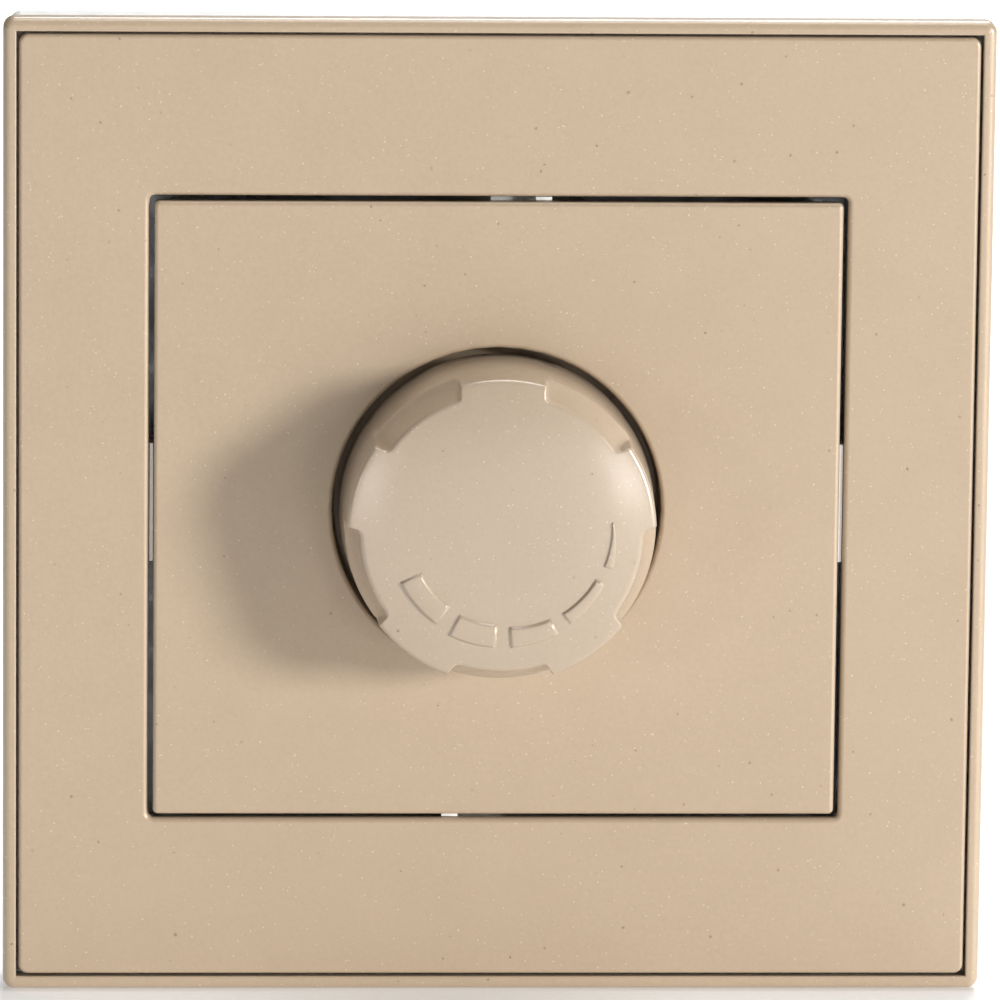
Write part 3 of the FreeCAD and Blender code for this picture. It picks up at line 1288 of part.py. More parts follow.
def make_claw(side, word):
    """A claw on a pin under the yoke, its screw, and the wedge nut that spreads it as the screw turns."""
    tip = "(-claw_pin_drop - claw_length)"
    plate = block(f"claw_{word}_plate", "claw_thickness", "claw_width", "claw_length - 1.2",
                  f"{side} * ({CLAW_INNER} + claw_thickness / 2)", "0", tip)
    tooth = block(f"claw_{word}_tooth", "claw_tooth", "claw_width", "1.5",
                  f"{side} * ({CLAW_INNER} + claw_thickness + claw_tooth / 2)", "0", tip)
    knuckle = rod(f"claw_{word}_barrel", "claw_knuckle", "claw_width", f"{side} * {CLAW_PIN_X}",
                  "-claw_width / 2", PIN_HEIGHT, along="y")
    body = new_body(f"claw_{word}_ribs")
    sketch = body.newObject("Sketcher::SketchObject", f"claw_{word}_rib_outline")
    sketch.AttachmentSupport = [(plane(body, "XZ_Plane"), "")]
    sketch.MapMode = "FlatFace"
    rib_points = [
        (f"{CLAW_INNER} + ramp_overlap", "claw_pin_drop + 1"),
        (CLAW_RAMP_FOOT, "nut_rest - ramp_foot_rise"),
        (CLAW_RAMP_FOOT, "nut_rest - ramp_top_rise"),
        (CLAW_RAMP_WAIST, "nut_rest - ramp_waist_rise"),
        (f"{NUT_OUTER} + ramp_overlap", "nut_rest + ramp_overlap"),
        (f"{CLAW_INNER} + ramp_overlap", "nut_rest + ramp_overlap"),
    ]
    polygon(sketch, [(f"{side} * ({x})", f"-({z})") for x, z in rib_points])
    ribs = pad(body, sketch, "claw_width", f"claw_{word}_rib_pad")
    ribs.Midplane = True
    slot = block(f"claw_{word}_slot", CLAW_INNER, "claw_slot", "claw_length",
                 f"{side} * {CLAW_INNER} / 2", "0", f"{tip} + 1")
    slot_end = block(f"claw_{word}_notch", "claw_knuckle * 2", "claw_slot", "claw_knuckle + 1",
                     f"{side} * {CLAW_PIN_X}", "0", f"{PIN_HEIGHT} - claw_knuckle / 2 - 0.5")
    bore = rod(f"claw_{word}_bore", "claw_pin_diameter + 2 * running_gap", "claw_width * 2",
               f"{side} * {CLAW_PIN_X}", "-claw_width", PIN_HEIGHT, along="y")
    blank = joined(f"claw_{word}_blank", plate, tooth, knuckle, body)
    finish_node(without(f"claw_{word}", blank, slot, slot_end, bore), f"claw_{word}")
    x = f"{side} * {CLAW_SCREW_X}"
    shank = rod(f"claw_screw_{word}_shank", "claw_screw_diameter", "claw_screw_length + yoke_thickness", x, "0",
                "-claw_screw_length")
    head_foot = "yoke_thickness + running_gap"
    head = rod(f"claw_screw_{word}_head", "claw_head", "claw_head_height", x, "0", head_foot)
    neck = rod(f"claw_screw_{word}_neck", "claw_screw_diameter", "2 * running_gap", x, "0", "yoke_thickness")
    blade = block(f"claw_screw_{word}_blade", "claw_head", "slot_blade", "claw_slot_depth", x, "0",
                  "yoke_thickness + claw_head_height - claw_slot_depth + 2 * running_gap")
    blank = joined(f"claw_screw_{word}_blank", shank, neck, head)
    finish_node(without(f"claw_screw_{word}", blank, blade), f"claw_screw_{word}")
    nut_x = f"{side} * ({NUT_OUTER} - nut_width / 2)"
    block_blank = block(f"claw_nut_{word}_blank", "nut_width", "nut_span", "nut_length", nut_x, "0",
                        "-nut_rest - nut_length")
    thread = rod(f"claw_nut_{word}_thread", "claw_screw_diameter + 2 * running_gap", "nut_length * 2", x, "0",
                 "-nut_rest - nut_length * 1.5")
    finish_node(without(f"claw_nut_{word}", block_blank, thread), f"claw_nut_{word}")


def make_claw_pins():
    pins = []
    for side in (-1, 1):
        word = "left" if side < 0 else "right"
        pins.append(rod(f"claw_pin_{word}", "claw_pin_diameter", "claw_pin_length", f"{side} * {CLAW_PIN_X}",
                        "-claw_pin_length / 2", "-claw_pin_drop", along="y"))
    finish_node(group("claw_pin_set", *pins), "claw_pins")


# ---------------------------------------------------------------- build, check and write

make_outer_rim()
make_front_fascia()
make_back_frame()
make_centre_plate()
make_knob()
make_knob_clip()
make_shaft()
make_shaft_ring()
make_bush()
make_bush_nut()
make_bush_washer()
make_pot_body()
make_resistive_track()
make_wiper_rotor()
make_wiper_contact()
make_switch_case()
make_switch_plunger()
make_switch_spring()
make_yoke()
make_housing_front()
make_housing_rear()
make_housing_screws()
make_board()
make_triac()
make_heat_sink()
make_triac_screw()
make_choke()
make_capacitors()
make_small_parts()
make_fuse()
make_terminals()
make_claw(-1, "left")
make_claw(1, "right")
make_claw_pins()
doc.recompute()

for item in doc.Objects:
    if "Invalid" in item.State or "Error" in item.State:
        raise RuntimeError(f"{item.Label} failed: {item.State}")
for piece in nodes:
    if piece.Shape.isNull() or not piece.Shape.isValid():
        raise RuntimeError(f"{piece.Label} has no valid shape")

os.makedirs("parts", exist_ok=True)
for piece in nodes:
    piece.Shape.exportStep(f"parts/{piece.Label}.step")
    print(piece.Label, len(piece.Shape.Solids), "solids", round(piece.Shape.Volume, 1), "mm3")
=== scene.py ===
import json
import math
import bmesh
import bpy
from mathutils import Matrix, Vector


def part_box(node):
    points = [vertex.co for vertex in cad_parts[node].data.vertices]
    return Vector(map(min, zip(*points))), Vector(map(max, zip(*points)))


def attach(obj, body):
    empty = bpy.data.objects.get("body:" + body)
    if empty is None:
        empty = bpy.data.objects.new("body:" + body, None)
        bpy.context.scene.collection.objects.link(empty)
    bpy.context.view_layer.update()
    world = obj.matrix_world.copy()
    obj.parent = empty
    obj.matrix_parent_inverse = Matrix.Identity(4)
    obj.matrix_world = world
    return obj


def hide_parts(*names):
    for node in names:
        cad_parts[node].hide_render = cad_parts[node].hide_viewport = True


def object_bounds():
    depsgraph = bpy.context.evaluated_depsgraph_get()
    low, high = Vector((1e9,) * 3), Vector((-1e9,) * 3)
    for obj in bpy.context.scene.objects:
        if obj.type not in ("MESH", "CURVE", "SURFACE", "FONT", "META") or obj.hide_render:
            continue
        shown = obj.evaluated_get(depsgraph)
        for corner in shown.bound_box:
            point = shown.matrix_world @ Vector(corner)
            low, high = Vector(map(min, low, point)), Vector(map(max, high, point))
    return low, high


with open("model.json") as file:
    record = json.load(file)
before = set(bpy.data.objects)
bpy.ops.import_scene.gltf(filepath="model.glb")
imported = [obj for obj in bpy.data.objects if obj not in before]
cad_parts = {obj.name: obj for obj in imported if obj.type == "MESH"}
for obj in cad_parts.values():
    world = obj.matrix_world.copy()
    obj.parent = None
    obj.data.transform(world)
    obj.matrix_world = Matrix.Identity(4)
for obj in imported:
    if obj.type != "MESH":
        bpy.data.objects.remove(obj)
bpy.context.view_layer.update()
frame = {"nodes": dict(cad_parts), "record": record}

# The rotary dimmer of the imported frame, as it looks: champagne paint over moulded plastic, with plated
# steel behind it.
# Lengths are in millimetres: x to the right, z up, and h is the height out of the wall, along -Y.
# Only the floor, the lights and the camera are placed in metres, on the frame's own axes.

MM = 0.001


def node_box(node):
    """Lowest and highest x, z and h of a CAD node, in millimetres."""
    low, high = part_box(node)
    return {
        "x": (low.x / MM, high.x / MM),
        "z": (low.z / MM, high.z / MM),
        "h": (-high.y / MM, -low.y / MM),
    }


# ---------------------------------------------------------------- outlines and meshes

CORNER_STEPS = 8
SIDE_STEPS = 24
LEAST_CORNER = 0.01
SIDE_CROWDING = 0.6


def rounded_rectangle(width, height, corner, h):
    """Points round a centred rectangle, anticlockwise from its lower right corner.
    The points of a side stand closer together towards the corners."""
    corner = max(corner, LEAST_CORNER)
    points = []
    half_x = width / 2 - corner
    half_z = height / 2 - corner
    centres = ((half_x, -half_z), (half_x, half_z), (-half_x, half_z), (-half_x, -half_z))
    for number, (cx, cz) in enumerate(centres):
        begin = -math.pi / 2 + number * math.pi / 2
        for step in range(CORNER_STEPS + 1):
            angle = begin + math.pi / 2 * step / CORNER_STEPS
            points.append((cx + corner * math.cos(angle), cz + corner * math.sin(angle), h))
        nx, nz = centres[(number + 1) % 4]
        turn = begin + math.pi / 2
        start = (cx + corner * math.cos(turn), cz + corner * math.sin(turn))
        finish = (nx + corner * math.cos(turn), nz + corner * math.sin(turn))
        for step in range(1, SIDE_STEPS):
            share = step / SIDE_STEPS
            share = share - math.sin(2 * math.pi * share) / (2 * math.pi) * SIDE_CROWDING
            x = start[0] + (finish[0] - start[0]) * share
            z = start[1] + (finish[1] - start[1]) * share
            points.append((x, z, h))
    return points


def circle_like(outline, radius, h):
    """A circle with a point on the ray of each point of an outline."""
    points = []
    for x, z, _ in outline:
        reach = math.hypot(x, z)
        points.append((x / reach * radius, z / reach * radius, h))
    return points


def quarter(steps):
    """Sine and 1 - cosine over a quarter turn, for an edge round."""
    for step in range(steps + 1):
        angle = math.pi / 2 * step / steps
        yield math.sin(angle), 1 - math.cos(angle)


def new_piece(name, mesh, body, material):
    piece = bpy.data.objects.new(name, mesh)
    bpy.context.scene.collection.objects.link(piece)
    mesh.materials.append(material)
    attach(piece, body)
    return piece


def build_mesh(name, loops, ring=True, caps=(), strip_caps=()):
    """A mesh of quads between loops of equal length. ring joins the last loop to the first.
    caps closes loops with one face each, and strip_caps with quads from one half of the loop to the other."""
    shape = bmesh.new()
    rows = []
    for loop in loops:
        rows.append([shape.verts.new((x * MM, -h * MM, z * MM)) for x, z, h in loop])
    count = len(rows[0])
    pairs = list(zip(rows, rows[1:]))
    if ring:
        pairs.append((rows[-1], rows[0]))
    for here, there in pairs:
        for number in range(count):
            following = (number + 1) % count
            shape.faces.new((here[number], here[following], there[following], there[number]))
    for index in caps:
        shape.faces.new(rows[index])
    for index in strip_caps:
        row = rows[index]
        for number in range(count // 2 - 1):
            shape.faces.new((row[number], row[number + 1], row[count - 2 - number], row[count - 1 - number]))
    bmesh.ops.recalc_face_normals(shape, faces=shape.faces[:])
    mesh = bpy.data.meshes.new(name)
    shape.to_mesh(mesh)
    shape.free()
    mesh.polygons.foreach_set("use_smooth", [True] * len(mesh.polygons))
    return mesh


def keep_flats(piece):
    """Flat faces keep their own normals beside rounded edges."""
    weights = piece.modifiers.new("flat_faces", "WEIGHTED_NORMAL")
    weights.mode = "FACE_AREA"
    weights.weight = 100
    weights.keep_sharp = False


# ---------------------------------------------------------------- materials

class Nodes:
    """The nodes of one material, added and linked by name."""

    def __init__(self, name):
        self.material = bpy.data.materials.new(name)
        self.material.use_nodes = True
        self.tree = self.material.node_tree
        self.tree.nodes.clear()
        self.output = self.tree.nodes.new("ShaderNodeOutputMaterial")
        self.shader = self.add("ShaderNodeBsdfPrincipled")
        self.link(self.shader.outputs[0], self.output.inputs["Surface"])
        self.place = self.add("ShaderNodeTexCoord").outputs["Object"]

    def add(self, kind, **values):
        node = self.tree.nodes.new(kind)
        for key, value in values.items():
            setattr(node, key, value)
        return node

    def link(self, start, end):
        self.tree.links.new(start, end)

    def noise(self, scale, detail=2.0, roughness=0.5, stretch=None):
        node = self.add("ShaderNodeTexNoise")
        node.inputs["Scale"].default_value = scale
        node.inputs["Detail"].default_value = detail
        node.inputs["Roughness"].default_value = roughness
        place = self.place
        if stretch:
            mapping = self.add("ShaderNodeMapping")
            mapping.inputs["Scale"].default_value = stretch
            self.link(place, mapping.inputs["Vector"])
            place = mapping.outputs[0]
        self.link(place, node.inputs["Vector"])
        return node.outputs["Fac"]

    def cells(self, scale, output="Color"):
        node = self.add("ShaderNodeTexVoronoi")
        node.inputs["Scale"].default_value = scale
        self.link(self.place, node.inputs["Vector"])
        return node.outputs[output]

    def ramp(self, factor, low, high, start=0.0, end=1.0):
        """Maps a factor from start..end to low..high."""
        node = self.add("ShaderNodeMapRange")
        node.inputs["From Min"].default_value = start
        node.inputs["From Max"].default_value = end
        node.inputs["To Min"].default_value = low
        node.inputs["To Max"].default_value = high
        self.link(factor, node.inputs["Value"])
        return node.outputs["Result"]

    def swing(self, noise, low, high):
        """Maps the middle of a noise, where most of it lies, to low..high."""
        return self.ramp(noise, low, high, 0.3, 0.7)

    def mix(self, factor, first, second, kind="MIX"):
        """A colour between two colours or sockets."""
        node = self.add("ShaderNodeMix", data_type="RGBA", blend_type=kind)
        for key, value in ((0, factor), (6, first), (7, second)):
            if isinstance(value, (int, float)):
                node.inputs[key].default_value = value
            elif isinstance(value, tuple):
                node.inputs[key].default_value = (*value, 1.0)
            else:
                self.link(value, node.inputs[key])
        return node.outputs[2]

    def bump(self, height, distance, strength=1.0, after=None):
        node = self.add("ShaderNodeBump")
        node.inputs["Distance"].default_value = distance * MM
        node.inputs["Strength"].default_value = strength
        self.link(height, node.inputs["Height"])
        if after is not None:
            self.link(after, node.inputs["Normal"])
        return node.outputs["Normal"]

    def finish(self, colour, rough, normal, **constants):
        self.link(colour, self.shader.inputs["Base Color"])
        self.link(rough, self.shader.inputs["Roughness"])
        self.link(normal, self.shader.inputs["Normal"])
        for key, value in constants.items():
            self.shader.inputs[key.replace("_", " ")].default_value = value
        return self.material


FLAKE = (1.0, 0.93, 0.8)
SPECK = (0.12, 0.08, 0.045)


def champagne_paint(name, light, dark, rough, metallic, coat, coat_rough):
    """Satin pearl paint: slow mottling, fine flakes and sparse bright and dark specks."""
    nodes = Nodes(name)
    clouds = nodes.noise(140.0, 4.0, 0.6)
    grain = nodes.noise(2600.0, 2.0, 0.6)
    base = nodes.mix(nodes.swing(clouds, 0.0, 1.0), dark, light)
    grain_tint = nodes.ramp(grain, 0.965, 1.035, 0.25, 0.75)
    base = nodes.mix(1.0, base, grain_tint, "MULTIPLY")
    flakes = nodes.add("ShaderNodeSeparateColor")
    nodes.link(nodes.cells(8200.0), flakes.inputs[0])
    bright = nodes.ramp(flakes.outputs[0], 0.0, 0.3, 0.992, 0.999)
    base = nodes.mix(bright, base, FLAKE)
    specks = nodes.add("ShaderNodeSeparateColor")
    nodes.link(nodes.cells(5600.0), specks.inputs[0])
    gloom = nodes.ramp(specks.outputs[1], 0.0, 0.5, 0.9993, 0.9998)
    base = nodes.mix(gloom, base, SPECK)
    roughness = nodes.swing(nodes.noise(900.0, 3.0, 0.6), rough - 0.05, rough + 0.06)
    normal = nodes.bump(grain, 0.006, 0.4)
    normal = nodes.bump(nodes.noise(300.0, 2.0), 0.012, 0.25, normal)
    return nodes.finish(base, roughness, normal, Metallic=metallic, Coat_Weight=coat,
                        Coat_Roughness=coat_rough, Specular_IOR_Level=0.5)


def moulding(name, light, dark, rough, grain_size=0.35, depth=0.02, spread=0.05):
    """Moulded plastic with a fine eroded texture and slow tone changes."""
    nodes = Nodes(name)
    clouds = nodes.noise(90.0, 3.0)
    texture = nodes.noise(1000.0 / grain_size, 3.0, 0.65)
    base = nodes.mix(nodes.swing(clouds, 0.0, 1.0), dark, light)
    base = nodes.mix(1.0, base, nodes.ramp(texture, 0.94, 1.05, 0.25, 0.75), "MULTIPLY")
    roughness = nodes.swing(nodes.noise(500.0, 3.0), rough - spread, rough + spread)
    normal = nodes.bump(texture, depth, 0.6)
    return nodes.finish(base, roughness, normal)


def metal(name, light, dark, rough, stretch=(1.0, 1.0, 1.0), scale=700.0, depth=0.006, spangle=0.0):
    """Plated or bright metal with drawn or rolled grain, cloudy tarnish and rough patches."""
    nodes = Nodes(name)
    clouds = nodes.noise(160.0, 4.0, 0.6)
    grain = nodes.noise(scale, 4.0, 0.6, stretch)
    base = nodes.mix(nodes.swing(clouds, 0.0, 1.0), dark, light)
    base = nodes.mix(1.0, base, nodes.ramp(grain, 0.9, 1.08, 0.25, 0.75), "MULTIPLY")
    if spangle:
        patches = nodes.add("ShaderNodeSeparateColor")
        nodes.link(nodes.cells(420.0), patches.inputs[0])
        base = nodes.mix(1.0, base, nodes.ramp(patches.outputs[0], 1.0 - spangle, 1.0), "MULTIPLY")
    roughness = nodes.swing(nodes.noise(450.0, 3.0), rough - 0.07, rough + 0.1)
    normal = nodes.bump(grain, depth, 0.6)
    return nodes.finish(base, roughness, normal, Metallic=1.0)


def board_material():
    nodes = Nodes("board")
    weave = nodes.noise(1400.0, 2.0, 0.6, (1.0, 1.0, 4.0))
    tracks = nodes.cells(260.0, "Distance")
    base = nodes.mix(nodes.ramp(tracks, 0.0, 1.0, 0.32, 0.42), (0.035, 0.14, 0.05), (0.06, 0.24, 0.085))
    base = nodes.mix(1.0, base, nodes.swing(weave, 0.85, 1.1), "MULTIPLY")
    roughness = nodes.swing(nodes.noise(600.0, 3.0), 0.25, 0.45)
    return nodes.finish(base, roughness, nodes.bump(tracks, 0.03, 0.4), Coat_Weight=0.3)


def winding_material():
    """Turns of enamelled copper wire, as fine ribs across the winding, darker in the grooves between the
    turns as painted shade.
    """
    nodes = Nodes("copper_wire")
    wave = nodes.add("ShaderNodeTexWave", wave_type="RINGS", rings_direction="Y")
    wave.inputs["Scale"].default_value = 260.0
    wave.inputs["Distortion"].default_value = 0.6
    nodes.link(nodes.place, wave.inputs["Vector"])
    ribs_and_painted_shade = wave.outputs["Fac"]
    # Painted shade: the copper colour is darkened in the grooves between the turns, and the same ribs drive
    # the bump below.
    base = nodes.mix(ribs_and_painted_shade, (0.22, 0.06, 0.02), (0.75, 0.3, 0.12))
    roughness = nodes.swing(nodes.noise(800.0), 0.2, 0.4)
    return nodes.finish(base, roughness, nodes.bump(ribs_and_painted_shade, 0.12, 0.8), Metallic=0.7, Coat_Weight=0.5)


def glass_material():
    nodes = Nodes("glass")
    smear = nodes.noise(250.0, 3.0)
    base = nodes.mix(nodes.swing(smear, 0.0, 1.0), (0.9, 0.93, 0.94), (0.97, 0.98, 0.99))
    roughness = nodes.swing(smear, 0.02, 0.1)
    return nodes.finish(base, roughness, nodes.bump(smear, 0.01, 0.2), Transmission_Weight=0.9, IOR=1.5)


PAINT_LIGHT = (0.5, 0.388, 0.272)
PAINT_DARK = (0.484, 0.373, 0.26)
KNOB_LIGHT = (0.49, 0.393, 0.293)
KNOB_DARK = (0.478, 0.381, 0.282)

looks = {
    "champagne": champagne_paint("champagne", PAINT_LIGHT, PAINT_DARK, 0.42, 0.1, 0.5, 0.24),
    "white_plastic": moulding("white_plastic", (0.86, 0.86, 0.84), (0.8, 0.8, 0.77), 0.42),
    "grey_plastic": moulding("grey_plastic", (0.47, 0.48, 0.49), (0.4, 0.41, 0.42), 0.55, 0.5, 0.05),
    "black_plastic": moulding("black_plastic", (0.028, 0.028, 0.03), (0.016, 0.016, 0.018), 0.45),
    "carbon": moulding("carbon", (0.04, 0.038, 0.035), (0.02, 0.019, 0.018), 0.6, 0.15),
    "zinc_steel": metal("zinc_steel", (0.7, 0.71, 0.72), (0.52, 0.53, 0.55), 0.32, (1, 1, 1), 500.0,
                        0.008, 0.16),
    "zinc_screw": metal("zinc_screw", (0.68, 0.68, 0.66), (0.5, 0.5, 0.48), 0.26, (1, 1, 1), 1500.0),
    "spring_steel": metal("spring_steel", (0.55, 0.55, 0.55), (0.4, 0.4, 0.41), 0.25, (1, 6, 1), 900.0),
    "nickel": metal("nickel", (0.72, 0.68, 0.62), (0.6, 0.56, 0.5), 0.18, (1, 1, 1), 1200.0),
    "brass": metal("brass", (0.76, 0.55, 0.22), (0.58, 0.38, 0.13), 0.24, (4, 1, 1), 900.0),
    "board": board_material(),
    "aluminium": metal("aluminium", (0.78, 0.79, 0.8), (0.66, 0.67, 0.69), 0.34, (1, 8, 1), 600.0, 0.01),
    "copper_wire": winding_material(),
    "yellow_case": moulding("yellow_case", (0.78, 0.52, 0.06), (0.7, 0.44, 0.04), 0.38),
    "red_case": moulding("red_case", (0.48, 0.07, 0.035), (0.36, 0.045, 0.02), 0.28, 0.8, 0.03),
    "blue_case": moulding("blue_case", (0.12, 0.28, 0.55), (0.08, 0.2, 0.42), 0.2, 0.6, 0.01),
    "resistor_body": moulding("resistor_body", (0.6, 0.46, 0.27), (0.5, 0.36, 0.2), 0.35, 0.6),
    "glass": glass_material(),
}
knob_look = champagne_paint("champagne_knob", KNOB_LIGHT, KNOB_DARK, 0.34, 0.1, 1.0, 0.2)

slot_of = {entry["node"]: entry["material_slot"] for entry in frame["record"]["subparts"]}
for node, piece in frame["nodes"].items():
    piece.data.materials.clear()
    piece.data.materials.append(looks[slot_of[node]])


# ---------------------------------------------------------------- wall plate

RIM_CORNER = 1.0
RIM_WIDTH = 1.15
RIM_ROUND = 0.7
RIM_INNER_ROUND = 0.15
FASCIA_CORNER = 0.8
FASCIA_ROUND = 0.35
APERTURE_ROUND = 0.48
APERTURE_WIDTH = 59.9
APERTURE_HEIGHT = 54.5
APERTURE_CORNER = 0.45


def make_rim():
    box = node_box("outer_rim")
    width = box["x"][1] - box["x"][0]
    height = box["z"][1] - box["z"][0]
    back, front = box["h"]
    section = [(0.0, back)]
    for along, drop in quarter(7):
        section.append((RIM_ROUND * drop, front - RIM_ROUND + RIM_ROUND * along))
    for along, drop in quarter(4):
        inset = RIM_WIDTH - RIM_INNER_ROUND + RIM_INNER_ROUND * along
        section.append((inset, front - RIM_INNER_ROUND * drop))
    section.append((RIM_WIDTH, back))
    loops = []
    for inset, h in section:
        loops.append(rounded_rectangle(width - 2 * inset, height - 2 * inset, RIM_CORNER - inset, h))
    mesh = build_mesh("rim_frame", loops)
    piece = new_piece("rim_frame", mesh, "fixed", looks["champagne"])
    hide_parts("outer_rim")
    keep_flats(piece)


def make_fascia():
    box = node_box("front_fascia")
    width = box["x"][1] - box["x"][0]
    height = box["z"][1] - box["z"][0]
    back, front = box["h"]
    loops = [rounded_rectangle(width, height, FASCIA_CORNER, back)]
    for along, drop in quarter(6):
        inset = FASCIA_ROUND * drop
        h = front - FASCIA_ROUND + FASCIA_ROUND * along
        loops.append(rounded_rectangle(width - 2 * inset, height - 2 * inset, FASCIA_CORNER - inset, h))
    for along, drop in quarter(6):
        inset = APERTURE_ROUND * (1 - along)
        h = front - APERTURE_ROUND * drop
        loops.append(rounded_rectangle(APERTURE_WIDTH + 2 * inset, APERTURE_HEIGHT + 2 * inset,
                                       APERTURE_CORNER + inset, h))
    loops.append(rounded_rectangle(APERTURE_WIDTH, APERTURE_HEIGHT, APERTURE_CORNER, back))
    mesh = build_mesh("fascia_plate", loops)
    piece = new_piece("fascia_plate", mesh, "fixed", looks["champagne"])
    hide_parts("front_fascia")
    keep_flats(piece)


# ---------------------------------------------------------------- centre plate with the knob's well

LIP_DEPTH = 1.2
SKIN_DEPTH = 1.6
SKIRT_INSET = 1.25
SKIRT_WALL = 1.3
PLATE_ROUND = 0.4
WELL_RADIUS = 14.2
WELL_WALL = 1.4
WELL_ROUND = 0.42
WELL_FLOOR = 4.8
WELL_BACK = 3.4
WELL_FILLET = 0.3
BUSH_HOLE = 5.15


def make_centre_plate():
    box = node_box("centre_plate")
    width = box["x"][1] - box["x"][0]
    height = box["z"][1] - box["z"][0]
    foot, front = box["h"]
    lip_back = front - LIP_DEPTH
    skin_back = front - SKIN_DEPTH
    outline = rounded_rectangle(width, height, APERTURE_CORNER, front)

    def frame_loop(inset, h):
        return rounded_rectangle(width - 2 * inset, height - 2 * inset, APERTURE_CORNER - inset, h)

    loops = [frame_loop(0.0, lip_back)]
    for along, drop in quarter(6):
        loops.append(frame_loop(PLATE_ROUND * drop, front - PLATE_ROUND + PLATE_ROUND * along))
    for along, drop in quarter(6):
        loops.append(circle_like(outline, WELL_RADIUS + WELL_ROUND * (1 - along), front - WELL_ROUND * drop))
    loops.append(circle_like(outline, WELL_RADIUS, WELL_FLOOR + WELL_FILLET))
    loops.append(circle_like(outline, WELL_RADIUS - WELL_FILLET, WELL_FLOOR))
    loops.append(circle_like(outline, BUSH_HOLE, WELL_FLOOR))
    loops.append(circle_like(outline, BUSH_HOLE, WELL_BACK))
    loops.append(circle_like(outline, WELL_RADIUS + WELL_WALL, WELL_BACK))
    loops.append(circle_like(outline, WELL_RADIUS + WELL_WALL, skin_back))
    loops.append(frame_loop(SKIRT_INSET + SKIRT_WALL, skin_back))
    loops.append(frame_loop(SKIRT_INSET + SKIRT_WALL, foot))
    loops.append(frame_loop(SKIRT_INSET, foot))
    loops.append(frame_loop(SKIRT_INSET, lip_back))
    mesh = build_mesh("centre_panel", loops)
    piece = new_piece("centre_panel", mesh, "fixed", looks["champagne"])
    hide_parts("centre_plate")
    keep_flats(piece)


# ---------------------------------------------------------------- knob

BASE_RADIUS = 13.6
FOOT_CHAMFER = 0.25
FRONT_RADIUS = 13.2
EDGE_ROUND = 0.42
CAD_DOME = 0.9
DOME = 0.8
DOME_POWER = 3.2
CROWN_MARGIN = 0.1
SHELL_WALL = 1.7
FACE_DEPTH = 1.9
BOSS_RADIUS = 5.0
BOSS_FOOT = 10.6
SOCKET_END = 17.0
SOCKET_RADIUS = 3.025
SOCKET_FLAT = -1.575
SCOOP_COUNT = 5
SCOOP_FIRST = 54.0
SCOOP_HALF = 19.6
SCOOP_INNER = 11.6
SCOOP_LIP = 0.5
SCOOP_DEPTH = 3.3
SCOOP_BOW = 0.35
SCOOP_CORNER = 0.7
SCOOP_BLEND = 0.32

# The rows of the knob's mesh. FACE_LEAD is how far inside the scoops the face's close rows begin, and
# WALL_CROWDING brings the rows of the wall closer together towards its top.
FACE_RADII = (0.6, 2.5, 5.0, 7.4, 9.2)
FACE_LEAD = 1.4
FACE_STEPS = 8
EDGE_STEPS = 6
WALL_STEPS = 10
WALL_CROWDING = 1.3

# The scoop's section, from its lip down: the lip turns by LIP_TURN degrees a row, then come a small step, the
# hollow floor and the corner where the floor meets the wall.
LIP_TURN = 16
LIP_FALL = 1.15
BRINK_DROP = 0.16
BRINK_OUT = 0.03
FLOOR_STEPS = 6
FLOOR_DIVISIONS = 6.6
BOW_RATE = 1.05
FLOOR_INSET = 0.1
FLOOR_RISE = 0.12
CORNER_INSET = 0.03
CORNER_RISE = 0.02
SCOOP_FOOT_DROP = 0.08
LOWER_STEPS = 4

# The angles of the mesh's columns, in degrees: END_STEPS columns each side of a scoop's end, END_PITCH apart.
END_STEPS = 12
END_PITCH = 0.22
END_CLEAR = 3.0
PLAIN_PITCH = 1.25

# The hollow under the face: where its slope starts above the scoops and how far it stands inside them.
HOLLOW_RISE = 1.2
HOLLOW_MARGIN = 0.2


